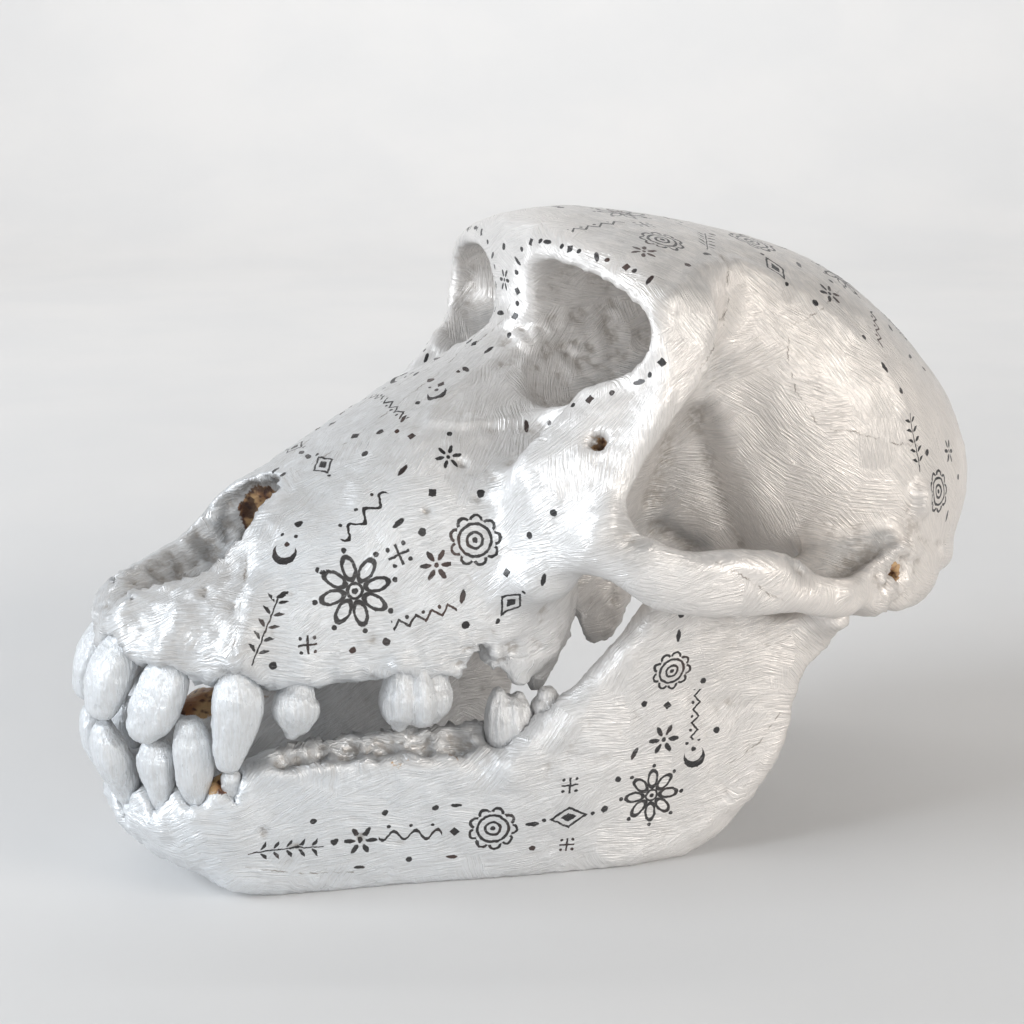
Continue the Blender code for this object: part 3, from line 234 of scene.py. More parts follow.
# Full outlines of the left jaw body and ramus foot: y, then x, z pairs from the outer border.
BODY = [
    (-58.0, [(15.0, 2.4), (17.0, 8.0), (17.4, 14.0), (16.8, 18.6), (14.6, 19.6), (12.0, 19.0),
        (9.0, 14.0), (9.0, 4.0)]),
    (-50.0, [(16.4, 0.0), (18.4, 7.0), (19.8, 15.0), (20.0, 23.4), (17.4, 23.8), (14.0, 23.6),
        (10.4, 14.0), (9.4, 1.0)]),
    (-40.0, [(18.6, -0.5), (20.8, 7.0), (22.2, 15.0), (22.6, 23.0), (19.6, 23.6), (15.4, 24.6),
        (12.4, 14.0), (12.2, 0.0)]),
    (-30.0, [(21.0, -0.5), (23.0, 7.0), (24.4, 15.0), (24.8, 22.8), (21.6, 23.6), (16.8, 25.0),
        (14.6, 14.0), (15.2, 0.0)]),
    (-20.0, [(24.0, -0.5), (26.0, 7.0), (27.2, 14.0), (27.2, 20.2), (23.8, 23.4), (18.2, 25.0),
        (17.4, 14.0), (18.6, 0.0)]),
    (-11.0, [(26.6, -0.5), (28.8, 7.0), (30.0, 14.0), (29.8, 21.5), (27.0, 24.4), (20.0, 24.4),
        (20.4, 14.0), (21.8, 0.0)]),
    (-3.0, [(28.6, -0.5), (30.6, 8.0), (32.0, 17.0), (32.2, 26.0), (29.6, 31.5), (25.0, 26.0),
        (24.4, 14.0), (24.6, 0.0)]),
    (6.0, [(30.0, -0.5), (31.8, 10.0), (33.4, 22.0), (34.6, 36.0), (33.2, 42.0), (30.2, 30.0),
        (28.2, 14.0), (27.0, 0.0)]),
    (14.0, [(30.8, 0.0), (32.6, 12.0), (34.4, 26.0), (35.8, 42.0), (34.4, 48.0), (31.6, 34.0),
        (29.4, 16.0), (28.0, 0.4)]),
    (20.0, [(31.4, 2.2), (33.0, 14.0), (34.8, 28.0), (36.2, 40.0), (34.8, 43.0), (32.0, 34.0),
        (30.0, 18.0), (29.0, 3.2)]),
]
# Ramus plate seen from the side (y, z), and how far out it stands.
RAMUS = [
    (-4.0, 26.0), (-1.2, 33.0), (3.8, 38.6), (8.8, 44.6), (11.6, 48.6), (14.4, 51.2),
    (17.4, 51.8), (20.5, 49.6), (24.5, 45.0), (30.0, 41.2), (35.5, 40.0), (40.6, 40.0),
    (42.8, 37.8), (41.0, 34.6), (37.8, 32.0), (36.2, 29.6), (35.4, 26.0), (34.8, 22.0),
    (34.0, 18.0), (32.2, 14.0), (30.2, 11.0), (27.6, 7.6), (24.4, 3.8), (19.8, 0.6),
    (14.0, -0.5), (6.0, -0.5), (0.0, 4.0), (-3.0, 14.0),
]
RAMUS_HALF = 2.6
OBLIQUE_LINE = [
    (28.5, -14.0, 19.6, 3.2, 3.0), (29.4, -5.0, 27.0, 3.0, 2.6), (31.2, 4.0, 36.0, 2.4, 2.2),
    (32.6, 9.6, 43.6, 2.2, 2.0),
]

# Teeth, left side: the direction of the width (degrees from +X towards +Y), then one or two
# masses, each a rod from the root down the crown.
TEETH = {
    "upper_incisor_1": (8, [[(4.4, -65.3, 45.9, 1.6, 1.4), (4.5, -66.5, 43.4, 2.2, 1.9),
        (4.7, -68.1, 40.7, 3.5, 3.0), (4.8, -70.0, 37.4, 4.3, 3.6),
        (4.8, -71.3, 34.2, 4.2, 3.3), (4.7, -72.1, 31.8, 3.6, 2.5)]]),
    "upper_incisor_2": (40, [[(12.2, -60.3, 43.4, 1.6, 1.4), (12.0, -61.8, 40.6, 2.2, 1.9),
        (11.7, -63.0, 37.9, 3.5, 2.9), (11.5, -64.5, 34.3, 4.0, 3.3),
        (11.1, -66.0, 31.2, 3.9, 3.1), (10.5, -67.4, 29.2, 3.0, 2.3)]]),
    "upper_canine": (76, [[(18.0, -54.3, 41.3, 1.6, 1.6), (18.3, -54.5, 38.8, 2.4, 2.2),
        (18.5, -54.5, 36.1, 3.6, 3.2), (18.6, -54.5, 33.6, 4.0, 3.6),
        (18.7, -55.1, 30.5, 3.6, 3.2), (18.8, -55.9, 27.5, 2.9, 2.6),
        (18.8, -56.4, 24.8, 2.1, 1.9)]]),
    "upper_premolar": (84, [[(19.8, -45.3, 38.5, 1.8, 1.7), (19.8, -45.4, 35.3, 2.4, 2.3),
        (19.9, -45.8, 33.6, 3.4, 3.2), (20.0, -46.0, 31.7, 3.7, 3.4),
        (20.0, -46.3, 29.6, 2.6, 2.4), (20.0, -46.7, 28.2, 1.2, 1.2)]]),
    "upper_molar": (86, [
        [(22.2, -29.6, 39.0, 2.0, 2.6), (22.4, -29.8, 34.6, 2.6, 3.6),
            (22.6, -29.9, 32.0, 3.2, 4.4), (22.6, -30.0, 29.4, 2.7, 3.6),
            (22.6, -30.1, 27.9, 1.3, 1.6)],
        [(22.2, -24.4, 39.0, 2.0, 2.6), (22.4, -24.4, 34.6, 2.5, 3.5),
            (22.5, -24.3, 32.0, 3.0, 4.2), (22.5, -24.2, 29.6, 2.5, 3.4),
            (22.5, -24.2, 28.2, 1.2, 1.5)]]),
    "lower_incisor_1": (8, [[(4.1, -67.2, 11.9, 1.5, 1.4), (4.1, -68.4, 15.6, 1.9, 1.8),
        (4.1, -69.5, 19.0, 2.9, 2.6), (4.3, -70.7, 22.2, 3.5, 3.0),
        (4.3, -71.5, 25.2, 3.3, 2.7), (4.3, -71.9, 27.2, 2.5, 1.9)]]),
    "lower_incisor_2": (38, [[(10.2, -64.0, 13.4, 1.4, 1.4), (10.2, -64.8, 16.6, 1.7, 1.6),
        (10.2, -65.0, 20.2, 2.6, 2.4), (10.1, -65.2, 23.2, 3.2, 2.7),
        (10.0, -65.2, 25.0, 2.8, 2.3)]]),
    "lower_canine": (70, [[(13.4, -59.4, 14.0, 1.5, 1.5), (14.0, -60.2, 17.6, 1.9, 1.8),
        (14.3, -60.6, 20.9, 2.8, 2.6), (14.2, -60.4, 23.8, 3.2, 2.9),
        (14.1, -60.6, 26.5, 3.1, 2.8), (13.9, -60.8, 29.3, 2.4, 2.2)]]),
    "lower_premolar_root": (82, [[(16.2, -55.0, 16.5, 1.2, 1.2), (16.6, -55.4, 19.6, 1.6, 1.5),
        (16.8, -55.6, 21.2, 1.7, 1.6)]]),
    "lower_molar": (88, [
        [(24.4, -12.9, 17.5, 1.7, 2.4), (24.3, -13.2, 21.4, 2.1, 3.0),
            (24.1, -13.5, 25.6, 2.4, 3.4), (24.0, -13.6, 29.2, 1.9, 2.6),
            (24.0, -13.7, 31.0, 1.0, 1.4)],
        [(24.4, -10.4, 17.5, 1.6, 2.3), (24.3, -10.3, 21.4, 2.0, 2.9),
            (24.1, -10.2, 25.2, 2.2, 3.3), (24.0, -10.2, 28.4, 1.7, 2.5),
            (24.0, -10.2, 29.9, 0.9, 1.2)]]),
    "lower_last_molar": (86, [[(25.7, -5.4, 24.0, 1.9, 1.9), (25.6, -5.6, 26.4, 2.5, 2.5),
        (25.6, -5.8, 28.4, 2.8, 2.8), (25.6, -5.9, 29.8, 1.8, 1.8)]]),
}


def curve_point(a, b, c, d, t):
    """Point between b and c, at share t, of the smooth curve through a, b, c and d."""
    return 0.5 * ((2 * b) + (c - a) * t + (2 * a - 5 * b + 4 * c - d) * t * t
                  + (3 * b - a - 3 * c + d) * t ** 3)


def along(keys, count):
    """Smooth run of rows through the given rows, evenly stepped between neighbours."""
    keys = np.asarray(keys, float)
    pad = np.vstack([2 * keys[0] - keys[1], keys, 2 * keys[-1] - keys[-2]])
    rows = [curve_point(*pad[i:i + 4], s / count)
            for i in range(len(keys) - 1) for s in range(count)]
    return np.array(rows + [keys[-1]])


def round_ring(ring, count):
    """The same smoothing for a closed outline."""
    ring = np.asarray(ring, float)
    rows = []
    for i in range(len(ring)):
        four = [ring[(i + k) % len(ring)] for k in (-1, 0, 1, 2)]
        rows += [curve_point(*four, s / count) for s in range(count)]
    return np.array(rows)


def skin(rings):
    """Closed shell over a run of rings, bridged one to the next and filled at both ends."""
    bm = bmesh.new()
    loops = []
    for ring in rings:
        verts = [bm.verts.new(Vector(p) * MM) for p in ring]
        loops.append([bm.edges.new(pair) for pair in zip(verts, verts[1:] + verts[:1])])
    for low, high in zip(loops, loops[1:]):
        bmesh.ops.bridge_loops(bm, edges=low + high)
    for loop in (loops[0], loops[-1]):
        cap = bmesh.ops.edgenet_fill(bm, edges=loop)["faces"]
        bmesh.ops.poke(bm, faces=cap)
    bmesh.ops.recalc_face_normals(bm, faces=bm.faces)
    return bm


def loft(stations, halves=False):
    """Shell from outlines along Y, whole ones or halves that their mirror image completes."""
    rings = []
    for row in along([[y] + [c for p in ring for c in p] for y, ring in stations], LOFT_STEPS):
        ring = list(row[1:].reshape(-1, 2))
        if halves:
            ring += [(-x, z) for x, z in ring[-2:0:-1]]
        rings.append([(x, row[0], z) for x, z in round_ring(ring, RING_STEPS)])
    return skin(rings)


def rod(path, wide, steps=5, sides=16):
    """Tapering rod of oval section along a path, its first half size towards wide."""
    rows = along(path, steps)
    wide = Vector(wide).normalized()
    rings = []
    last = len(rows) - 1
    for i, row in enumerate(rows):
        here = Vector(row[:3])
        run = Vector(rows[min(i + 1, last)][:3]) - Vector(rows[max(i - 1, 0)][:3])
        run.normalize()
        u = (wide - run * wide.dot(run)).normalized()
        v = run.cross(u).normalized()
        ends = [(0.0, 1.0)]
        reach = min(row[3], row[4])
        if i == 0:
            ends = [(-0.8, 0.5), (-0.45, 0.86), (0.0, 1.0)]
        elif i == last:
            ends = [(0.0, 1.0), (0.45, 0.86), (0.8, 0.5)]
        for shift, grow in ends:
            turn = [2 * math.pi * k / sides for k in range(sides)]
            rings.append([here + run * (shift * reach) + u * (row[3] * grow * math.cos(t))
                          + v * (row[4] * grow * math.sin(t)) for t in turn])
    return skin(rings)


def ball(centre, radii, turn=(0, 0, 0)):
    bm = bmesh.new()
    place = Matrix.Translation(Vector(centre) * MM)
    for axis, angle in zip("ZYX", reversed(turn)):
        place = place @ Matrix.Rotation(math.radians(angle), 4, axis)
    size = Matrix.Diagonal((radii[0] * MM, radii[1] * MM, radii[2] * MM, 1.0))
    bmesh.ops.create_uvsphere(bm, u_segments=24, v_segments=14, radius=1.0, matrix=place @ size)
    return bm


def hull(points):
    """Smallest closed shell round some points."""
    bm = bmesh.new()
    for p in points:
        bm.verts.new(Vector(p) * MM)
    made = bmesh.ops.convex_hull(bm, input=bm.verts)
    loose = [g for g in made["geom_interior"] if isinstance(g, bmesh.types.BMVert)]
    bmesh.ops.delete(bm, geom=loose, context="VERTS")
    return bm


def plate(outline, x_of, half):
    """Flat plate from a side outline (y, z), bent so that its middle stands at x_of(y, z)."""
    bm = bmesh.new()
    flat = [bm.verts.new(Vector((0.0, y, z)) * MM) for y, z in round_ring(outline, 3)]
    bmesh.ops.contextual_create(bm, geom=flat)
    bmesh.ops.triangulate(bm, faces=bm.faces)
    bmesh.ops.subdivide_edges(bm, edges=bm.edges, cuts=2, use_grid_fill=True)
    bmesh.ops.triangulate(bm, faces=bm.faces)
    body = bmesh.ops.extrude_face_region(bm, geom=bm.faces[:])
    marked = {g for g in body["geom"] if isinstance(g, bmesh.types.BMVert)}
    for v in bm.verts:
        side = half if v in marked else -half
        v.co.x = (x_of(v.co.y / MM, v.co.z / MM) + side) * MM
    bmesh.ops.recalc_face_normals(bm, faces=bm.faces)
    return bm


def flipped(bm):
    twin = bm.copy()
    bmesh.ops.scale(twin, vec=(-1, 1, 1), verts=twin.verts)
    bmesh.ops.reverse_faces(twin, faces=twin.faces)
    return twin


def both(bm):
    return [bm, flipped(bm)]


def as_object(name, shells):
    """One object from several closed shells."""
    whole = bmesh.new()
    for bm in shells:
        part = bpy.data.meshes.new("shell")
        bm.to_mesh(part)
        whole.from_mesh(part)
        bpy.data.meshes.remove(part)
        bm.free()
    bmesh.ops.recalc_face_normals(whole, faces=whole.faces)
    mesh = bpy.data.meshes.new(name)
    whole.to_mesh(mesh)
    whole.free()
    ob = bpy.data.objects.new(name, mesh)
    bpy.context.scene.collection.objects.link(ob)
    return ob


def settle(ob):
    """Bake the object's modifiers into its mesh."""
    bpy.context.view_layer.update()
    graph = bpy.context.evaluated_depsgraph_get()
    mesh = bpy.data.meshes.new_from_object(ob.evaluated_get(graph))
    old = ob.data
    ob.modifiers.clear()
    ob.data = mesh
    bpy.data.meshes.remove(old)
    mesh.name = ob.name


def clay(ob, voxel):
    remesh = ob.modifiers.new("Clay", "REMESH")
    remesh.mode = "VOXEL"
    remesh.voxel_size = voxel * MM
    remesh.adaptivity = 0.0


def swell(ob, reach):
    push = ob.modifiers.new("Swell", "DISPLACE")
    push.direction = "NORMAL"
    push.mid_level = 0.0
    push.strength = reach * MM


def soften(ob, rounds):
    soft = ob.modifiers.new("Thumbed", "SMOOTH")
    soft.factor = 0.5
    soft.iterations = rounds


def fuse(ob, voxel, rounds, close=0.0):
    """Join overlapping shells into one skin; close fills the creases between them."""
    clay(ob, voxel)
    if close:
        swell(ob, close)
        clay(ob, voxel)
        swell(ob, -close)
        clay(ob, voxel)
    soften(ob, rounds)
    settle(ob)


def combine(ob, other, operation="DIFFERENCE"):
    """Boolean with another object, which is used up."""
    hole = ob.modifiers.new("Join", "BOOLEAN")
    hole.operation = operation
    hole.solver = "MANIFOLD"
    hole.object = other
    settle(ob)
    bpy.data.objects.remove(other, do_unlink=True)


def tooth_shells(spec, grow=0.0, mirror=False, steps=1, sides=10):
    """Crown and root stub of a tooth; with grow, swollen all round to cut its socket."""
    angle, masses = spec
    wide = (math.cos(math.radians(angle)), math.sin(math.radians(angle)), 0.0)
    shells = []
    for rows in masses:
        rows = [(x, y, z, w + grow, d + grow) for x, y, z, w, d in rows]
        bm = rod(rows, wide, steps=steps, sides=sides)
        shells.append(flipped(bm) if mirror else bm)
    return shells


def ramus_x(y, z):
    """How far out the ramus plate stands: wider towards the back and the top."""
    return 29.0 + 0.09 * (y - 4.0) + 0.1 * (z - 8.0) * max(0.0, 1.0 - z / 120.0)


def orbit_cup():
    """Cutter for the left eye socket, its outline shrinking as it goes in."""
    rows = []
    for y, size, mx, mz in ORBIT_DEPTH:
        row = [y]
        for x, z in ORBIT_RIM:
            row += [mx + (x - ORBIT_MIDDLE[0]) * size, mz + (z - ORBIT_MIDDLE[1]) * size]
        rows.append(row)
    rings = []
    for row in along(rows, 3):
        flat = round_ring(row[1:].reshape(-1, 2), 3)
        rings.append([(x, row[0], z) for x, z in flat])
    return skin(rings)


def socket_cutter(start):
    shells = []
    for name, spec in TEETH.items():
        if name.startswith(start):
            shells += tooth_shells(spec, GAP) + tooth_shells(spec, GAP, True)
    ob = as_object("sockets", shells)
    fuse(ob, 0.5, 1)
    return ob


def cranium_masses():
    shells = [loft(MUZZLE, True), loft(VAULT, True)]
    for path, wide in ((BROW_RING, (1, 0, 0.2)), (BAR, (0, 1, 0.2)), (CHEEK, (0.72, 0.69, 0)),
                       (ARCH, (0, 0, 1)), (CREST, (0, 0, 1)), (EAR_TUBE, (0, 0, 1)),
                       (PTERYGOID, (0, 1, 0)), (HAMULUS, (0, 1, 0)), (TUBEROSITY, (0, 1, 0))):
        shells += both(rod(path, wide))
    shells += both(hull([(43.0, 36.5, 46.0), (33.0, 31.0, 49.5), (33.0, 45.0, 51.5),
                         (35.0, 53.0, 51.0), (41.0, 42.0, 45.0), (32.0, 36.0, 42.0),
                         (33.0, 50.0, 44.0), (30.0, 44.0, 50.0)]))
    shells += both(ball((30.0, -9.0, 51.5), (5.0, 6.0, 4.5)))
    shells += both(ball((29.4, 61.0, 43.6), (5.0, 9.4, 6.8), (0, 0, 35)))
    shells += both(ball((33.4, 55.6, 43.0), (3.6, 5.2, 5.4), (0, 0, 25)))
    shells += both(ball((34.6, 58.8, 57.0), (1.8, 2.2, 3.4), (0, 10, 30)))
    shells += both(ball((9.0, 67.0, 40.0), (4.0, 6.0, 4.0), (25, 0, -20)))
    shells += [ball((0.0, 30.0, 44.0), (9.0, 26.0, 6.0))]
    return shells


def cranium_hollows():
    shells = both(orbit_cup())
    shells += [rod(NOSE, (1, 0, 0), sides=24), rod(PALATE, (1, 0, 0), sides=24)]
    shells += both(hull(EAR_SLIT))
    shells += [hull(BROKEN_ROW), rod(BRAIN, (1, 0, 0), sides=28)]
    shells += [rod(GREAT_HOLE, (1, 0, 0), sides=20)]
    return shells


def mandible_masses():
    shells = [loft(CHIN, True)]
    shells += both(loft(BODY))
    shells += both(plate(RAMUS, ramus_x, RAMUS_HALF))
    shells += both(ball((36.5, 38.6, 40.2), (6.0, 3.4, 2.8), (0, -4, 12)))
    shells += both(rod(OBLIQUE_LINE, (0, 1, 0)))
    return shells


def mandible_hollows():
    shells = []
    row = [(19.0, -47.5, 25.5, 2.2), (19.6, -42.5, 25.5, 2.3), (20.4, -37.0, 25.6, 2.4),
           (21.2, -31.5, 25.6, 2.5), (22.2, -26.0, 25.0, 2.6), (23.4, -20.6, 24.4, 2.7)]
    for x, y, z, r in row:
        shells += both(ball((x, y, z), (r, 2.9, 4.6), (0, 6, 0)))
    corner = [(15.0, -4.0), (12.5, 6.0), (14.0, 15.0), (26.0, 24.0), (50.0, 31.0), (50.0, -4.0)]
    shells += [hull([(x, y, z) for y, z in corner for x in (-20.0, -50.0)])]
    return shells


def read_array(items, field, width, kind=np.float32):
    """One value, or a row of width values, for each of a mesh's items."""
    values = np.empty(len(items) * width, kind)
    items.foreach_get(field, values)
    return values.reshape(-1, width) if width > 1 else values


def read_points(mesh):
    return read_array(mesh.vertices, "co", 3).astype(float) / MM


def write_points(mesh, points):
    mesh.vertices.foreach_set("co", (points * MM).astype(np.float32).ravel())
    mesh.update()


def read_normals(mesh):
    return read_array(mesh.vertex_normals, "vector", 3).astype(float)


def finish_piece(ob, node):
    """Move the piece into the part's frame, shade it smooth and tie it to its node."""
    ob.data.transform(Matrix.Translation(SHIFT))
    ob.data.shade_smooth()
    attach(ob, "root")
    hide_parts(node)


def keep_largest(ob):
    """Drop specks that a cut left loose, and turn the faces out."""
    bm = bmesh.new()
    bm.from_mesh(ob.data)
    bmesh.ops.remove_doubles(bm, verts=bm.verts, dist=1e-7)
    left = set(bm.verts)
    groups = []
    while left:
        seed = left.pop()
        group = [seed]
        for v in group:
            for e in v.link_edges:
                w = e.other_vert(v)
                if w in left:
                    left.remove(w)
                    group.append(w)
        groups.append(group)
    groups.sort(key=len)
    for group in groups[:-1]:
        bmesh.ops.delete(bm, geom=group, context="VERTS")
    bmesh.ops.recalc_face_normals(bm, faces=bm.faces)
    bm.to_mesh(ob.data)
    bm.free()


class Wiring:
    """Adds and joins shader nodes of one material."""

    def __init__(self, name):
        self.mat = bpy.data.materials.new(name)
        self.mat.use_nodes = True
        self.tree = self.mat.node_tree
        self.tree.nodes.clear()

    def node(self, kind, inputs=None, **settings):
        made = self.tree.nodes.new("ShaderNode" + kind)
        for key, value in settings.items():
            setattr(made, key, value)
        for key, value in (inputs or {}).items():
            socket = made.inputs[key]
            if isinstance(value, bpy.types.NodeSocket):
                self.tree.links.new(value, socket)
            else:
                socket.default_value = value
        return made

    def math(self, operation, *values):
        return self.node("Math", dict(enumerate(values)), operation=operation).outputs[0]

    def plus(self, a, b):
        return self.math("ADD", a, b)

    def minus(self, a, b):
        return self.math("SUBTRACT", a, b)

    def times(self, a, b):
        return self.math("MULTIPLY", a, b)

    def read(self, name, kind="Fac"):
        """What the mesh carries under a name."""
        return self.node("Attribute", attribute_name=name).outputs[kind]

    def vector(self, operation, *values):
        made = self.node("VectorMath", dict(enumerate(values)), operation=operation)
        return made.outputs["Vector"]

    def ramp(self, value, low, high, start=0.0, end=1.0):
        """Smooth step from start at low to end at high."""
        made = self.node("MapRange", {"Value": value, "From Min": low, "From Max": high,
                                      "To Min": start, "To Max": end},
                         interpolation_type="SMOOTHSTEP")
        return made.outputs["Result"]

    def mix(self, share, first, second):
        made = self.node("Mix", {"Factor": share, 6: first, 7: second}, data_type="RGBA")
        return made.outputs[2]

    def noise(self, place, scale, detail=3.0, rough=0.55):
        made = self.node("TexNoise", {"Vector": place, "Scale": scale, "Detail": detail,
                                      "Roughness": rough})
        return made.outputs["Fac"]


PEN = 0.24              # half width of the ornament pen's line, mm
PEN_EDGE = 0.05
PEN_WOBBLE = 0.42       # how far the hand strays, mm


class Pen:
    """Shapes of the ink ornaments, in millimetres round a stamp's middle."""

    def __init__(self, w, x, y):
        self.w = w
        self.x = x
        self.y = y

    def far(self, x, y):
        w = self.w
        return w.math("SQRT", w.plus(w.times(x, x), w.times(y, y)))

    def fill(self, distance, edge):
        return self.w.ramp(distance, edge - PEN_EDGE, edge + PEN_EDGE, 1.0, 0.0)

    def line(self, distance, middle=0.0, half=PEN):
        w = self.w
        off = w.math("ABSOLUTE", w.minus(distance, middle))
        return self.fill(off, half)

    def either(self, *masks):
        total = masks[0]
        for mask in masks[1:]:
            total = self.w.math("MAXIMUM", total, mask)
        return total

    def petals(self, count):
        """The plane folded round the middle so that one petal stands for all."""
        w = self.w
        step = 2 * math.pi / count
        turn = w.math("ARCTAN2", self.y, self.x)
        turn = w.plus(w.math("DIVIDE", turn, step), 0.5)
        turn = w.times(w.minus(w.math("FRACT", turn), 0.5), step)
        reach = self.far(self.x, self.y)
        return (w.times(reach, w.math("COSINE", turn)),
                w.times(reach, w.math("SINE", turn)), reach)

    def oval(self, x, y, middle, long, wide):
        """Distance-like value of an oval: its outline is at wide."""
        w = self.w
        across = w.math("DIVIDE", w.minus(x, middle), long / wide)
        return self.far(across, y)

    def row(self, step):
        """x folded so that one mark repeats along it."""
        w = self.w
        share = w.math("FRACT", w.plus(w.math("DIVIDE", self.x, step), 0.5))
        return w.times(w.minus(share, 0.5), step)

    def within(self, value, edge):
        return self.fill(self.w.math("ABSOLUTE", value), edge)

    def dot(self):
        return self.fill(self.far(self.x, self.y), 0.48)

    def seed(self):
        return self.fill(self.oval(self.x, self.y, 0.0, 1.15, 0.42), 0.42)

    def gem(self):
        w = self.w
        span = w.plus(w.math("ABSOLUTE", self.x), w.math("ABSOLUTE", self.y))
        return self.fill(span, 0.85)

    def rosette(self):
        px, py, reach = self.petals(8)
        leaf = self.oval(px, py, 3.5, 1.75, 0.95)
        return self.either(self.line(leaf, 0.95), self.line(reach, 1.15), self.fill(reach, 0.5),
                           self.fill(self.oval(px, py, 6.3, 0.42, 0.42), 0.42))

    def daisy(self):
        px, py, reach = self.petals(6)
        return self.either(self.fill(self.oval(px, py, 1.75, 0.95, 0.42), 0.42),
                           self.fill(reach, 0.42))

    def shell_ring(self):
        px, py, reach = self.petals(9)
        bump = self.far(self.w.minus(px, 3.0), py)
        outside = self.fill(self.w.minus(3.0, px), 0.0)
        return self.either(self.line(reach, 1.2), self.line(reach, 2.5), self.fill(reach, 0.45),
                           self.w.times(self.line(bump, 0.85), outside))

    def sprig(self):
        w = self.w
        step = self.row(2.1)
        side = w.math("ABSOLUTE", self.y)
        lean = w.minus(step, w.times(side, 0.7))
        leaf = self.fill(self.oval(side, lean, 1.15, 0.85, 0.4), 0.4)
        kept = self.within(self.x, 5.2)
        stem = w.times(self.within(self.y, 0.14), self.within(self.x, 6.2))
        return self.either(w.times(leaf, kept), stem)

    def moon(self):
        w = self.w
        whole = self.fill(self.far(self.x, self.y), 1.9)
        bite = self.fill(self.far(w.minus(self.x, 0.8), self.y), 1.55)
        moon = w.times(whole, w.minus(1.0, bite))
        side = w.math("ABSOLUTE", self.y)
        dots = self.fill(self.far(w.minus(self.x, 2.9), w.minus(side, 1.1)), 0.3)
        return self.either(moon, dots, self.fill(self.far(w.minus(self.x, 1.5), self.y), 0.42))

    def zigzag(self):
        w = self.w
        step = self.row(2.6)
        peak = w.minus(w.math("ABSOLUTE", step), 0.65)
        line = self.line(w.minus(self.y, peak), 0.0, 0.26)
        dots = self.fill(self.far(step, w.minus(self.y, 0.75)), 0.3)
        return w.times(self.either(line, dots), self.within(self.x, 5.1))

    def lozenge(self):
        w = self.w
        flat = w.times(w.math("ABSOLUTE", self.x), 0.62)
        span = w.plus(flat, w.math("ABSOLUTE", self.y))
        side = w.math("ABSOLUTE", self.x)
        dots = self.fill(self.far(w.minus(side, 4.1), self.y), 0.38)
        return self.either(self.line(span, 1.8), self.fill(span, 0.85), dots)

    def cross(self):
        w = self.w
        wide, high = w.math("ABSOLUTE", self.x), w.math("ABSOLUTE", self.y)
        arms = w.times(self.fill(w.math("MINIMUM", wide, high), 0.2),
                       self.fill(w.math("MAXIMUM", wide, high), 1.6))
        dots = self.fill(self.far(w.minus(wide, 1.2), w.minus(high, 1.2)), 0.32)
        return self.either(arms, dots)

    def wave(self):
        w = self.w
        rise = w.times(w.math("SINE", w.times(self.x, 2.0)), 0.75)
        line = self.line(w.minus(self.y, rise), 0.0, 0.28)
        step = self.row(math.pi)
        dots = self.fill(self.far(step, w.minus(self.y, 1.6)), 0.28)
        return w.times(self.either(line, dots), self.within(self.x, 4.7))


# Ornament name: half length and half width of its stamp, mm. Its place here is its number.
ORNAMENTS = {
    "dot": (0.9, 0.9), "seed": (1.6, 0.9), "gem": (1.3, 1.3),
    "rosette": (7.0, 7.0), "daisy": (3.0, 3.0), "shell_ring": (4.4, 4.4), "sprig": (6.6, 2.5),
    "moon": (3.6, 2.5), "zigzag": (5.6, 1.7), "lozenge": (4.8, 2.4), "cross": (2.2, 2.2),
    "wave": (5.2, 2.2),
}


def ink_mask(w):
    """Where the pen went, from the ornament place that each face carries."""
    place = w.read("ornament", "Vector")
    wobble = w.node("TexNoise", {"Vector": w.node("TexCoord").outputs["Object"], "Scale": 1300.0,
                                 "Detail": 2.0}).outputs["Color"]
    wobble = w.node("VectorMath", {0: w.vector("SUBTRACT", wobble, (0.5, 0.5, 0.5)),
                                   "Scale": PEN_WOBBLE}, operation="SCALE").outputs["Vector"]
    split = w.node("SeparateXYZ", {0: w.vector("ADD", place, wobble)})
    kind = w.node("SeparateXYZ", {0: place}).outputs["Z"]
    pen = Pen(w, split.outputs["X"], split.outputs["Y"])
    marks = [w.times(getattr(pen, name)(), w.math("COMPARE", kind, float(number + 1), 0.4))
             for number, name in enumerate(ORNAMENTS)]
    return pen.either(*marks)


# Brown grey of the painted shade in the hollows.
HOLLOW_SHADE = (0.30, 0.26, 0.22, 1.0)
SEAM_BROWN = (0.20, 0.17, 0.14, 1.0)
BROWN_INK = (0.045, 0.02, 0.014, 1.0)
BONE_DARK = (0.28, 0.12, 0.045, 1.0)
BONE_PALE = (0.52, 0.33, 0.16, 1.0)
BONE_SPOTS = (0.09, 0.035, 0.02, 1.0)
# Near black of the painted shade deep in the holes of the bare bone.
BONE_HOLE_SHADE = (0.05, 0.02, 0.014, 1.0)


def brush_runs(w):
    """Broad and fine streaks of the brush, along the patches that the faces carry."""
    runs = []
    for layer in ("brush_a", "brush_b"):
        lay = w.read(layer, "Vector")
        broad = w.noise(w.vector("MULTIPLY", lay, (0.17, 3.0, 7.0)), 1.0, 2.0, 0.62)
        fine = w.noise(w.vector("MULTIPLY", lay, (0.5, 8.5, 7.0)), 1.0, 1.0, 0.5)
        runs.append((broad, fine))
    first = w.ramp(w.read("brush_share"), 0.0, 1.0)
    second = w.minus(1.0, first)
    return [w.plus(w.times(a, first), w.times(b, second)) for a, b in zip(*runs)]


def tooth_runs(w, spot):
    """The same on a tooth, where the strokes run up and down."""
    broad = w.noise(w.vector("MULTIPLY", spot, (2400.0, 2400.0, 260.0)), 1.0, 4.0, 0.62)
    fine = w.noise(w.vector("MULTIPLY", spot, (6000.0, 6000.0, 900.0)), 1.0, 2.0, 0.5)
    return broad, fine


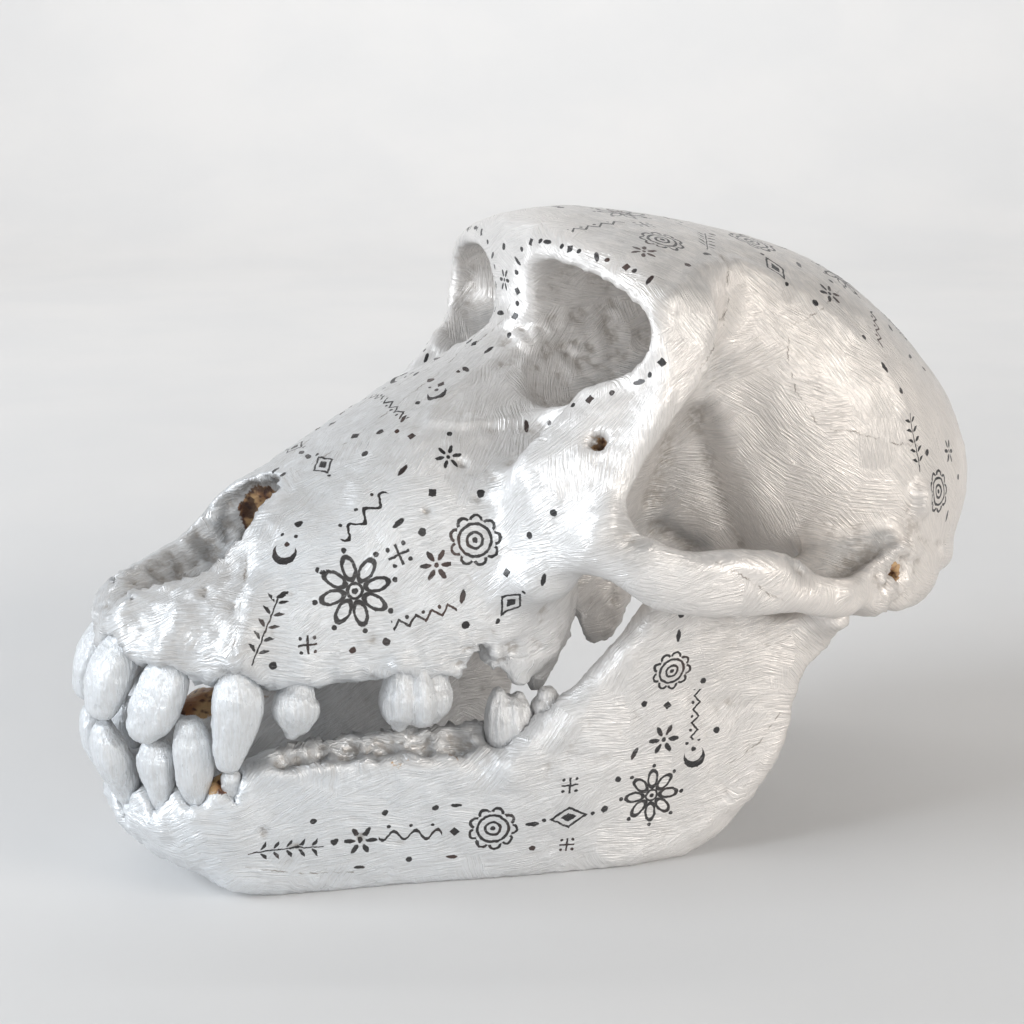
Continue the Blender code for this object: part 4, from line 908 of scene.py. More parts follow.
def bone_colour(w, spot, thin_and_shade, hollow):
    """Brown bone that no brush reached, spotted, with painted shade making it nearly black deep in its
    holes.
    """
    bone = w.mix(w.ramp(w.noise(spot, 300.0, 2.0), 0.35, 0.65), BONE_DARK, BONE_PALE)
    bone = w.mix(w.ramp(w.noise(spot, 800.0, 1.0), 0.5, 0.7), bone, BONE_SPOTS)
    # Painted shade: where the paint is grey and the hollow deep, the bare bone goes nearly black.
    return w.mix(w.times(w.times(thin_and_shade, 0.85), w.ramp(hollow, 0.05, 0.5)), bone, BONE_HOLE_SHADE)


def solid(colour):
    return tuple(colour) + (1.0,)


def paint_material(name, strokes=True, ink=True):
    """Brushed pearl white paint; where asked, ink ornaments and patches of bare bone."""
    look = bpy.context.scene.skull_paint
    w = Wiring(name)
    spot = w.node("TexCoord").outputs["Object"]
    broad, fine = brush_runs(w) if strokes else tooth_runs(w, spot)
    patches = w.noise(spot, 55.0, 2.0, 0.6)
    grain = w.noise(spot, 900.0, 2.0, 0.6)
    hollow, thin_and_shade = w.read("hollow"), w.read("thin_and_shade")
    warmth = w.ramp(w.read("warmth"), -0.5, 0.5)
    colour = w.mix(warmth, solid(look.cool_paint), solid(look.warm_paint))
    mottle = w.plus(w.noise(spot, 420.0, 2.0, 0.7), w.times(patches, 0.2))
    mottle = w.ramp(mottle, 0.42, 0.72, 0.55, 1.0)
    # Share of grey: random patches, and the greying read above, part of which is painted shade.
    grey_and_shade_share = w.plus(w.times(w.ramp(patches, 0.35, 0.7), 0.14), w.times(w.times(thin_and_shade, mottle), 0.75))
    streak = w.times(w.ramp(broad, 0.36, 0.62, 1.0, 0.0), 0.34)
    colour = w.mix(w.plus(grey_and_shade_share, streak), colour, solid(look.grey_paint_and_shade))
    # Painted shade: the hollows darkened towards a brown grey, broken up by the grain.
    hollow_shade = w.times(w.ramp(hollow, 0.15, 0.9), w.ramp(grain, 0.3, 0.62))
    colour = w.mix(w.times(hollow_shade, 0.55), colour, HOLLOW_SHADE)
    rough = w.ramp(broad, 0.3, 0.7, 0.46, 0.27)
    metal = w.ramp(broad, 0.3, 0.65, look.pearl * 0.6, look.pearl)
    if strokes:
        bare = w.ramp(w.plus(w.read("bare"), w.times(w.minus(grain, 0.5), 0.9)), 0.42, 0.6)
        colour = w.mix(bare, colour, bone_colour(w, spot, thin_and_shade, hollow))
        metal = w.times(metal, w.minus(1.0, bare))
        rough = w.plus(rough, w.times(bare, 0.25))
        colour = w.mix(w.times(seam_mask(w), 0.75), colour, SEAM_BROWN)
    if ink:
        worn = w.ramp(w.plus(w.times(broad, 0.6), w.times(grain, 0.4)), 0.34, 0.46)
        mark = w.times(ink_mask(w), w.plus(w.times(worn, 0.2), 0.8))
        brown = w.ramp(w.noise(spot, 90.0, 2.0), 0.52, 0.68)
        colour = w.mix(mark, colour, w.mix(brown, solid(look.ink), BROWN_INK))
        metal = w.times(metal, w.minus(1.0, mark))
    lift = w.plus(w.plus(broad, w.times(fine, 0.35)), w.times(grain, 0.22))
    bump = w.node("Bump", {"Height": lift, "Strength": look.relief, "Distance": 0.0005})
    surface = w.node("BsdfPrincipled", {
        "Base Color": colour, "Metallic": metal, "Roughness": rough, "Normal": bump.outputs[0],
        "Coat Weight": look.coat, "Coat Roughness": 0.2, "Specular IOR Level": 0.5})
    w.node("OutputMaterial", {"Surface": surface.outputs[0]})
    return w.mat


def put_attribute(mesh, name, values):
    """A number for each point of a mesh, or a row of three for each corner of its faces."""
    kind, domain, field = (("FLOAT_VECTOR", "CORNER", "vector") if np.ndim(values) == 2
                           else ("FLOAT", "POINT", "value"))
    layer = mesh.attributes.new(name, kind, domain)
    layer.data.foreach_set(field, np.asarray(values, np.float32).ravel())


class Faces:
    """Face middles, normals and corners of a mesh, in millimetres."""

    def __init__(self, mesh):
        self.mesh = mesh
        self.middle = read_array(mesh.polygons, "center", 3).astype(float) / MM
        self.normal = read_array(mesh.polygons, "normal", 3).astype(float)
        total = read_array(mesh.polygons, "loop_total", 1, np.int32)
        self.owner = np.repeat(np.arange(len(total)), total)
        self.vertex = read_array(mesh.loops, "vertex_index", 1, np.int32)
        self.corner = read_points(mesh)[self.vertex]


def tangent(normal, wanted):
    """Unit direction in the surface nearest to the wanted one."""
    flat = wanted - normal * np.sum(normal * wanted, axis=-1, keepdims=True)
    size = np.linalg.norm(flat, axis=-1, keepdims=True)
    return flat / np.maximum(size, 1e-6)


BRUSH_PATCH = 8.0       # size of a patch of strokes, mm
BRUSH_SWING = 0.32      # how much its direction varies, radians
PATCH_STEP = 13.7       # shift between the streaks of two patches, mm


def lay_brush(faces, seed):
    """Overlapping patches of brush strokes along the bone, in two layers that fade into
    each other."""
    mesh = faces.mesh
    rng = np.random.default_rng(seed)
    margins = []
    for layer, shift in (("brush_a", 0.0), ("brush_b", 0.5)):
        cell = np.floor((faces.middle / BRUSH_PATCH) + shift).astype(int)
        _, seeds = np.unique(cell, axis=0, return_index=True)
        tree = kdtree.KDTree(len(seeds))
        for k, f in enumerate(seeds):
            tree.insert(faces.middle[f], k)
        tree.balance()
        patch = np.empty(len(faces.middle), int)
        margin = np.empty(len(faces.middle))
        for f, p in enumerate(faces.middle):
            (_, k, near), (_, _, far) = tree.find_n(p, 2)
            patch[f] = k
            margin[f] = (far - near) / (far + near + 1e-6)
        normal = faces.normal[seeds]
        run = tangent(normal, bone_flow(faces.middle[seeds]))
        angle = rng.normal(0.0, BRUSH_SWING, len(seeds))[:, None]
        across = np.cross(normal, run)
        along_run = run * np.cos(angle) + across * np.sin(angle)
        across = np.cross(normal, along_run)
        own = patch[faces.owner]
        d = faces.corner - faces.middle[seeds][own]
        place = np.stack([np.sum(d * along_run[own], 1), np.sum(d * across[own], 1),
                          own.astype(float)], 1)
        place[:, 1] += own * PATCH_STEP
        put_attribute(mesh, layer, place)
        margins.append(margin)
    share = margins[0] / (margins[0] + margins[1] + 1e-6)
    total = np.zeros(len(mesh.vertices))
    times = np.zeros(len(mesh.vertices))
    np.add.at(total, faces.vertex, share[faces.owner])
    np.add.at(times, faces.vertex, 1.0)
    put_attribute(mesh, "brush_share", total / np.maximum(times, 1))


def draw_ornaments(faces, tree, stamps):
    """Give the faces under each stamp their place in it: millimetres from its middle, and the
    ornament's number."""
    count = len(faces.middle)
    best = np.full(count, 1.0)
    owner = np.full(count, -1)
    sheets = []
    names = list(ORNAMENTS)
    for k, (name, spot, angle, size) in enumerate(stamps):
        hit, normal, _, _ = tree.find_nearest(spot * MM)
        middle, normal = np.array(hit) / MM, np.array(normal)
        near = np.linalg.norm(faces.middle - middle, axis=1) < 2.2
        if near.any():
            normal = faces.normal[near].mean(0)
        normal = normal / np.linalg.norm(normal)
        ref = np.array([0.0, 1.0, 0.0]) if abs(normal[1]) < 0.9 else np.array([1.0, 0.0, 0.0])
        run = tangent(normal, ref)
        side = np.cross(normal, run)
        turn = math.radians(angle)
        u = run * math.cos(turn) + side * math.sin(turn)
        v = np.cross(normal, u)
        half_u, half_v = (h * size for h in ORNAMENTS[name])
        d = faces.middle - middle
        a, b, h = d @ u, d @ v, d @ normal
        score = np.maximum(np.abs(a) / half_u, np.abs(b) / half_v)
        fits = (score < best) & (np.abs(h) < 1.5 + 0.6 * half_u) & (faces.normal @ normal > 0.15)
        best[fits] = score[fits]
        owner[fits] = k
        sheets.append((middle, u / size, v / size, names.index(name) + 1.0))
    place = np.zeros((len(faces.corner), 3))
    own = owner[faces.owner]
    for k, (middle, u, v, number) in enumerate(sheets):
        mine = own == k
        d = faces.corner[mine] - middle
        place[mine] = np.stack([d @ u, d @ v, np.full(len(d), number)], 1)
    put_attribute(faces.mesh, "ornament", place)
    return owner >= 0


# Where the pen went, by the side it is seen from: ornament, its place there in mm (y, z from
# the side; x, y from above; x, z from the front), its turn in degrees and its size.
SKULL_DRAWING = {
    "side": [
        ("rosette", -37.0, 50.5, 10, 1.0), ("shell_ring", -18.5, 57.0, 0, 1.0),
        ("sprig", -50.5, 46.0, 62, 0.95), ("zigzag", -27.0, 46.0, 12, 1.0),
        ("moon", -46.0, 56.0, 60, 1.0), ("wave", -34.0, 61.0, 33, 1.1), ("daisy", -24.5, 53.5, 0, 0.95),
        ("lozenge", -14.0, 47.5, 70, 0.9), ("cross", -30.0, 55.5, 20, 1.1),
        ("cross", -44.8, 43.2, 0, 0.9), ("seed", -29.5, 60.0, 30, 1.0), ("seed", -21.0, 48.6, 75, 1.0),
        ("seed", -47.5, 50.5, 20, 0.9), ("seed", -11.0, 52.0, 80, 0.9), ("dot", -43.0, 59.8, 0, 1.3),
        ("dot", -26.2, 58.6, 0, 1.3), ("dot", -20.8, 44.2, 0, 1.3), ("dot", -33.0, 42.6, 0, 1.3),
        ("dot", -38.0, 41.6, 0, 1.1), ("dot", -50.0, 40.4, 0, 1.3), ("dot", -12.4, 58.6, 0, 1.2),
        ("dot", -16.4, 63.6, 0, 1.3), ("gem", -23.6, 64.0, 30, 1.0), ("gem", -15.0, 52.4, 0, 0.9),
        ("daisy", -19.6, 68.6, 0, 0.8), ("seed", -26.8, 67.0, 35, 1.0), ("dot", -10.0, 62.6, 0, 1.2),
        ("gem", -41.4, 53.4, 0, 0.8), ("shell_ring", 63.0, 58.0, 0, 0.9),
        ("sprig", 57.0, 67.0, 100, 0.8), ("daisy", 68.5, 63.5, 0, 0.8), ("dot", 55.0, 75.5, 0, 1.2),
        ("dot", 60.0, 65.0, 0, 1.2), ("seed", 66.5, 53.0, 70, 0.9), ("dot", 71.5, 58.5, 0, 1.1),
        ("seed", 52.0, 79.5, 120, 0.9),
    ],
    "above": [
        ("lozenge", 7.0, -36.0, 85, 0.9), ("gem", 5.4, -30.0, 0, 1.0), ("dot", 8.6, -27.0, 0, 1.3),
        ("zigzag", 5.0, -23.0, 90, 0.9), ("moon", 8.0, -17.0, 70, 0.9), ("dot", 3.0, -16.0, 0, 1.3),
        ("seed", 6.0, -11.0, 90, 1.0), ("dot", 11.0, -30.5, 0, 1.2), ("seed", 1.6, -36.6, 90, 1.0),
        ("dot", 2.0, -41.0, 0, 1.2), ("rosette", 6.0, 17.0, 0, 0.8), ("shell_ring", 23.0, 15.0, 0, 0.9),
        ("sprig", 19.0, 25.5, 60, 0.9), ("zigzag", 14.5, 8.0, 8, 1.0), ("daisy", 27.0, 9.5, 0, 0.8),
        ("cross", 14.8, 16.4, 0, 1.0), ("wave", 3.0, 28.0, 80, 1.0), ("dot", 10.0, 25.6, 0, 1.3),
        ("dot", 14.0, 29.6, 0, 1.3), ("seed", 25.8, 21.6, 20, 1.0), ("dot", 30.6, 15.2, 0, 1.2),
        ("gem", 1.0, 8.4, 0, 1.0), ("shell_ring", 13.0, 38.0, 0, 1.05),
        ("lozenge", 22.6, 36.4, 95, 0.95), ("moon", 3.0, 41.0, 70, 1.0), ("seed", 19.0, 43.4, 70, 1.0),
        ("daisy", 24.6, 45.8, 0, 0.85), ("rosette", 15.4, 54.0, 20, 0.85), ("gem", 4.4, 49.6, 0, 1.0),
        ("zigzag", 26.0, 54.6, 70, 0.85), ("sprig", 4.0, 62.0, 75, 0.9), ("cross", 9.6, 46.6, 0, 0.9),
        ("dot", 20.6, 48.8, 0, 1.2), ("dot", 27.6, 41.0, 0, 1.2), ("dot", 22.0, 60.4, 0, 1.2),
        ("seed", 24.4, 63.0, 30, 0.9), ("shell_ring", 14.6, 67.0, 0, 0.9), ("daisy", 5.4, 72.4, 0, 0.8),
        ("dot", 9.6, 62.6, 0, 1.2), ("seed", 21.4, 68.4, 10, 0.9), ("dot", 29.6, 49.4, 0, 1.1),
        ("dot", 30.4, 27.8, 0, 1.1),
    ],
    "front": [
        ("daisy", 0.0, 93.0, 0, 0.7), ("dot", 0.0, 98.4, 0, 1.2), ("seed", 0.0, 87.6, 90, 1.0),
        ("gem", 1.0, 83.0, 0, 0.9),
    ],
}
JAW_DRAWING = {
    "side": [
        ("sprig", -48.0, 9.0, 2, 0.95), ("dot", -40.6, 9.6, 0, 1.3), ("daisy", -36.6, 9.4, 0, 1.0),
        ("wave", -29.0, 9.6, 0, 1.1), ("gem", -22.2, 9.6, 0, 1.0), ("shell_ring", -16.4, 9.8, 0, 1.0),
        ("seed", -10.4, 10.2, 0, 1.0), ("lozenge", -4.6, 10.8, 3, 1.0), ("dot", 1.4, 11.4, 0, 1.3),
        ("rosette", 9.6, 12.6, 0, 0.85), ("dot", -44.0, 13.6, 0, 1.1), ("dot", -33.0, 14.0, 0, 1.1),
        ("dot", -25.4, 14.2, 0, 1.1), ("seed", -36.6, 4.4, 0, 0.8), ("seed", -22.4, 5.0, 0, 0.8),
        ("seed", -22.2, 14.4, 0, 0.8), ("dot", -29.0, 5.0, 0, 1.1), ("dot", -10.0, 5.6, 0, 1.1),
        ("cross", -4.8, 16.6, 0, 0.9), ("cross", -4.4, 5.6, 0, 0.8), ("moon", 16.8, 18.4, 100, 1.0),
        ("daisy", 11.0, 22.4, 0, 1.0), ("zigzag", 16.6, 25.6, 86, 0.9), ("gem", 11.4, 28.2, 0, 0.9),
        ("seed", 6.0, 20.6, 60, 1.0), ("dot", 20.6, 22.6, 0, 1.2), ("shell_ring", 11.6, 34.2, 0, 0.85),
        ("dot", 17.6, 31.6, 0, 1.1), ("dot", 7.4, 29.0, 0, 1.1), ("dot", 3.4, 16.4, 0, 1.1),
        ("seed", 12.2, 40.2, 90, 0.9), ("dot", 12.6, 43.6, 0, 1.1),
    ],
}
BORDER_MARKS = 42       # small marks round each eye socket
BORDER_ROOM = 1.22      # their ring, against the outline of the socket
RIM_ROOM = 1.07         # the raised rim, against the same outline
FAR_OFF = 120.0         # where a look at the bone starts, mm


def pen_path(view, a, b, side):
    """Start and direction of the look at a stamp's place."""
    if view == "side":
        return Vector((side * FAR_OFF, a, b)), Vector((-side, 0.0, 0.0))
    if view == "above":
        return Vector((side * a, b, FAR_OFF)), Vector((0.0, 0.0, -1.0))
    return Vector((side * a, -FAR_OFF, b)), Vector((0.0, 1.0, 0.0))


def place_stamps(tree, drawing):
    """Points on the bone for both sides of a drawing."""
    stamps = []
    for view, marks in drawing.items():
        for name, a, b, turn, size in marks:
            for side in (1.0, -1.0):
                start, look = pen_path(view, a, b, side)
                hit = tree.ray_cast(start * MM, look)[0]
                if hit is not None:
                    stamps.append((name, hit / MM, side * turn, size))
    return stamps


def from_front(tree, x, z):
    """Point of the bone, in mm, that a look from the front meets at x, z."""
    hit = tree.ray_cast(Vector((x, -FAR_OFF, z)) * MM, Vector((0.0, 1.0, 0.0)))[0]
    return None if hit is None else hit / MM


def socket_border(tree):
    """Small lozenges and dots in turn round each eye socket."""
    rim = np.array([(x, z) for x, z in round_ring(ORBIT_RIM, 6)])
    middle = rim.mean(0)
    steps = np.linalg.norm(np.diff(np.vstack([rim, rim[:1]]), axis=0), axis=1)
    way = np.concatenate([[0.0], np.cumsum(steps)])
    stamps = []
    for k in range(BORDER_MARKS):
        at = np.searchsorted(way, way[-1] * k / BORDER_MARKS)
        x, z = middle + (rim[min(at, len(rim) - 1)] - middle) * BORDER_ROOM
        name = ("gem", "dot", "seed", "dot")[k % 4]
        for side in (1.0, -1.0):
            spot = from_front(tree, side * x, z)
            if spot is not None:
                turn = math.degrees(math.atan2(z - middle[1], side * (x - middle[0])))
                stamps.append((name, spot, turn, 0.9))
    return stamps


# Places on the left side of the bones, as pixels of the photograph (1024 wide) seen by its camera.
PHOTO_SIZE = 1024
PREMAXILLA_SEAM = [(248, 548), (245, 575), (241, 600), (239, 625), (232, 652)]
BROW_SEAM = [(722, 258), (727, 285), (724, 318), (714, 345), (702, 366)]
ARCH_SEAM = [(720, 564), (738, 573), (752, 582), (765, 592), (779, 599)]
SCALE_SEAM = [(792, 326), (788, 345), (788, 365), (796, 390), (806, 408), (818, 424), (835, 431),
              (850, 430), (864, 436), (880, 438), (895, 444), (912, 445)]
CROWN_SEAM = [(846, 268), (838, 292), (820, 310), (806, 320), (792, 326)]
BRIDGE_SEAM = [(300, 470), (345, 444), (390, 410), (430, 380), (470, 340), (498, 308)]
CHIN_CRACK = [(250, 868), (300, 874), (345, 872)]
RAMUS_CRACK = [(735, 760), (760, 742), (775, 720)]
FACE_HOLE = (597, 440)
SMALL_HOLES = [(427, 510), (477, 500), (462, 462), (372, 640), (568, 352), (576, 344)]
JAW_HOLES = [(262, 832), (296, 846), (360, 838)]
TEMPLE_VALLEY = [(690, 400), (704, 440), (716, 490), (734, 545)]
TEMPLE_PIT = [(634, 538), (660, 532), (690, 548)]
SHELF = [(800, 562), (850, 553), (884, 545)]
# Hair lines: their kind (1 for a crack, 2 for a seam that winds) and their paths.
SKULL_LINES = (2.0, (SCALE_SEAM, ARCH_SEAM, BROW_SEAM, PREMAXILLA_SEAM, BRIDGE_SEAM, CROWN_SEAM))
JAW_LINES = (1.0, (CHIN_CRACK, RAMUS_CRACK))
# Ridges, bulges and grooves: their path, then their width and rise in mm.
SKULL_FORMS = {
    "cheek ridge": ([(668, 352), (662, 400), (646, 440), (628, 478), (608, 515), (590, 545)],
                    3.4, 0.9),
    "temple line": ([(672, 296), (700, 268), (740, 262), (790, 286), (840, 322), (880, 362),
                     (905, 410)], 2.6, 0.45),
    "canine root": ([(238, 672), (242, 645), (250, 615), (262, 590)], 4.0, 1.0),
    "first incisor root": ([(112, 640), (124, 618), (140, 602)], 3.2, 0.9),
    "second incisor root": ([(158, 660), (168, 638), (180, 618)], 3.2, 0.9),
    "premolar root": ([(300, 684), (302, 664)], 2.4, 0.55),
    "lost tooth root": ([(345, 684), (346, 668)], 2.4, 0.55),
    "front molar root": ([(395, 684), (398, 660)], 2.4, 0.55),
    "rear molar root": ([(432, 684), (436, 662)], 2.4, 0.55),
    "braincase front": ([(700, 400), (745, 372), (790, 400)], 12.0, 1.7),
    "temple wall": ([(655, 500), (668, 450), (684, 420)], 6.0, -1.3),
    "temple valley": ([(697, 412), (708, 460), (722, 505), (738, 545)], 3.6, -0.9),
    "braincase side": ([(722, 408), (742, 450), (762, 500), (776, 535)], 7.0, 1.0),
    "arch root groove": ([(808, 575), (850, 566), (876, 552)], 4.0, -1.1),
    "temple pit": (TEMPLE_PIT, 3.6, -1.3),
    "cheek hollow": ([(385, 600), (440, 575)], 9.0, -0.9),
    "hollow under the eye": ([(470, 470), (500, 440)], 7.0, -0.8),
    "rise under the eye": ([(520, 470), (545, 520)], 5.0, 0.7),
    "boss behind the ear": ([(922, 492), (922, 510)], 2.4, 1.4),
    "crest over the ear": ([(846, 590), (870, 568), (896, 547), (940, 556)], 2.4, 0.9),
    "shelf over the arch": ([(800, 566), (850, 556), (880, 548)], 3.4, -1.0),
    "arch top": ([(690, 572), (740, 566), (800, 574)], 2.0, 0.5),
    "premaxilla seam": (PREMAXILLA_SEAM, 1.1, -0.35),
    "brow seam": (BROW_SEAM, 1.1, -0.5),
    "arch seam": (ARCH_SEAM, 1.1, -0.3),
}
JAW_FORMS = {
    "edge of the tooth row": ([(215, 800), (262, 776), (330, 768), (400, 764), (470, 770)],
                              1.8, 0.5),
    "front edge of the ramus": ([(560, 740), (590, 700), (620, 660), (650, 628)], 2.6, 0.5),
    "angle of the jaw": ([(600, 860), (680, 842), (735, 800), (775, 745)], 3.0, 0.5),
    "hollow of the ramus": ([(640, 700), (690, 690), (740, 700)], 8.0, -0.7),
}
# Spots in the modelling frame, mm.
BROKEN_SPOT = (25.0, -17.6, 38.5)
ROUGH_LUMP = (18.0, 10.0, 40.0)
INNER_EYE_WALL = [(9.0, -3.0, 85.0), (9.0, 12.0, 84.0)]
EYE_SOCKET = [(20.0, 4.0, 86.0), (16.0, 20.0, 86.0)]
TEMPLE = [(20.0, 14.0, 60.0), (22.0, 20.0, 76.0)]
NOSE_TOP = [(3.0, -44.5, 58.5), (-4.5, -43.0, 56.5)]
BARE_JAW_SPOTS = (((15.5, -57.0, 21.0), 4.0), ((-15.5, -52.0, 22.5), 5.5))


def photo_eye():
    """The photograph's camera in the modelling frame: its place, right, up and back."""
    a, e = math.radians(CAMERA_AZIMUTH), math.radians(CAMERA_ELEVATION)
    back = Vector((math.sin(a) * math.cos(e), -math.cos(a) * math.cos(e), math.sin(e)))
    right = Vector((math.cos(a), math.sin(a), 0.0))
    return CAMERA_TARGET + back * CAMERA_REACH, right, back.cross(right), back


def on_photo(tree, pixel):
    """Point of the bone, in mm, that the photograph shows at a pixel."""
    eye, right, up, back = photo_eye()
    step = CAMERA_SENSOR / CAMERA_LENS / PHOTO_SIZE
    look = (right * ((pixel[0] - PHOTO_SIZE / 2) * step)
            - up * ((pixel[1] - PHOTO_SIZE / 2) * step) - back)
    hit = tree.ray_cast(eye, look.normalized())[0]
    return None if hit is None else hit / MM


def trace(tree, pixels):
    return [p for p in (on_photo(tree, pixel) for pixel in pixels) if p is not None]


def mirrored(tree, path):
    """The same path on the other side, laid on the bone there."""
    return [tree.find_nearest(Vector((-p.x, p.y, p.z)) * MM)[0] / MM for p in path]


def near_path(points, path):
    """Distance of every point from a path, mm."""
    best = np.full(len(points), 1e6)
    path = [np.array(p) for p in path]
    if len(path) == 1:
        path = path * 2
    for a, b in zip(path, path[1:]):
        run = b - a
        share = np.clip((points - a) @ run / max(run @ run, 1e-9), 0.0, 1.0)
        best = np.minimum(best, np.linalg.norm(points - (a + share[:, None] * run), axis=1))
    return best


def near_pair(points, path):
    """Distance from a path or from its mirror image, whichever is nearer, mm."""
    twin = [(-x, y, z) for x, y, z in path]
    return np.minimum(near_path(points, path), near_path(points, twin))


def unevenness(points, pitch, seed=0.0):
    """Rough field over the points, its lumps about pitch mm apart."""
    push = Vector((seed, 0.0, 0.0))
    return np.array([noise.fractal(Vector(p / pitch) + push, 0.7, 2.0, 3) for p in points])


def lines_hollow(points, normals, rows, grow):
    """Whether each point is on the wall of a hollow: near its rod and facing its middle."""
    best = np.full(len(points), 1e6)
    facing = np.zeros(len(points), bool)
    for row in along(rows, 4):
        inwards = row[:3] - points
        d = np.linalg.norm(inwards, axis=1)
        gap = d - (max(row[3], row[4]) + grow)
        nearer = gap < best
        best[nearer] = gap[nearer]
        facing[nearer] = (np.sum(inwards * normals, 1) > 0.25 * d)[nearer]
    return (best < 0.0) & facing


class Carver:
    """Thumb, gouge and rasp for one bone: everything moves its skin along the normals."""

    def __init__(self, ob):
        self.mesh = ob.data
        self.tree = surface_tree(self.mesh)
        self.points = read_points(self.mesh)
        self.normals = read_normals(self.mesh)
        self.rise = np.zeros(len(self.points))
        self.bare = np.zeros(len(self.points))
        # Greying of the paint: thinner paint in some places, painted shade in others.
        self.thin_and_shade = np.zeros(len(self.points))

    def rub(self, pixels, width, rounds):
        """Smooth the skin along a line before anything is carved there."""
        path = trace(self.tree, pixels)
        twin = mirrored(self.tree, path)
        near = np.minimum(near_path(self.points, path), near_path(self.points, twin)) < width
        bm = bmesh.new()
        bm.from_mesh(self.mesh)
        bm.verts.ensure_lookup_table()
        verts = [bm.verts[i] for i in np.flatnonzero(near)]
        for _ in range(rounds):
            bmesh.ops.smooth_vert(bm, verts=verts, factor=0.5, use_axis_x=True, use_axis_y=True,
                                  use_axis_z=True)
        bm.to_mesh(self.mesh)
        bm.free()
        self.points[:] = read_points(self.mesh)
        self.normals[:] = read_normals(self.mesh)

    def stroke(self, path, width, height):
        """Raised where height is positive, cut where it is negative, width to the foot."""
        for way in (path, mirrored(self.tree, path)):
            d = near_path(self.points, way) / width
            self.rise += height * np.exp(-(d * 1.7) ** 2) * (d < 2.0)

    def paint_shade_along(self, pixels, width, share):
        """Painted shade along a line, laid on as grey paint."""
        path = trace(self.tree, pixels)
        for way in (path, mirrored(self.tree, path)):
            self.thin_and_shade += share * spread(-near_path(self.points, way), -width, -width * 0.4)

    def photo_stroke(self, pixels, width, height):
        self.stroke(trace(self.tree, pixels), width, height)

    def drill(self, pixel, radius, depth, bone=0.0):
        """Small hole, greyed inside as painted shade; with bone, bare inside."""
        path = trace(self.tree, [pixel])
        for way in (path, mirrored(self.tree, path)):
            d = near_path(self.points, way) / radius
            self.rise -= depth * np.clip(1.35 - d, 0.0, 1.0) ** 0.8
            self.bare = np.maximum(self.bare, bone * np.clip(1.5 - d, 0.0, 1.0))
            self.thin_and_shade = np.maximum(self.thin_and_shade, np.clip(1.3 - d, 0.0, 1.0))

    def rasp(self, amount, pitch, share=1.0, seed=0.0):
        """Uneven skin: amount in mm, pitch in mm, share between 0 and 1 for each point."""
        self.rise += amount * unevenness(self.points, pitch, seed) * share

    def settle(self):
        write_points(self.mesh, self.points + self.normals * self.rise[:, None])
        put_attribute(self.mesh, "bare", np.clip(self.bare, 0.0, 1.0))
        put_attribute(self.mesh, "thin_and_shade", np.clip(self.thin_and_shade, 0.0, 1.0))


def tooth_rows(start):
    """The rods of the teeth of one jaw, both sides."""
    for name, (_, masses) in TEETH.items():
        if name.startswith(start):
            for rows in masses:
                yield np.array(rows, float)
                yield np.array(rows, float) * np.array([-1.0, 1.0, 1.0, 1.0, 1.0])


def gap_to_rod(points, rows):
    """Air between each point and a tapering rod, mm."""
    best = np.full(len(points), 1e6)
    for row in along(rows, 3):
        best = np.minimum(best, np.linalg.norm(points - row[:3], axis=1) - max(row[3], row[4]))
    return best


def seat_teeth(tool, start, root):
    """Collars round the sockets, and the bone's bulges over the roots, root mm long."""
    for rows in tooth_rows(start):
        gap = gap_to_rod(tool.points, rows)
        tool.rise += 0.4 * np.exp(-((gap - 1.0) / 0.55) ** 2)
        back = rows[0, :3] - rows[1, :3]
        end = rows[0, :3] + back / np.linalg.norm(back) * root
        buried = near_path(tool.points, [rows[0, :3], end])
        tool.rise += 0.7 * np.exp(-((buried - 1.5) / 2.6) ** 2) * (buried > 0.8)


def spread(values, low, high):
    """0 up to low, 1 from high, smooth between."""
    t = np.clip((values - low) / (high - low), 0.0, 1.0)
    return t * t * (3.0 - 2.0 * t)


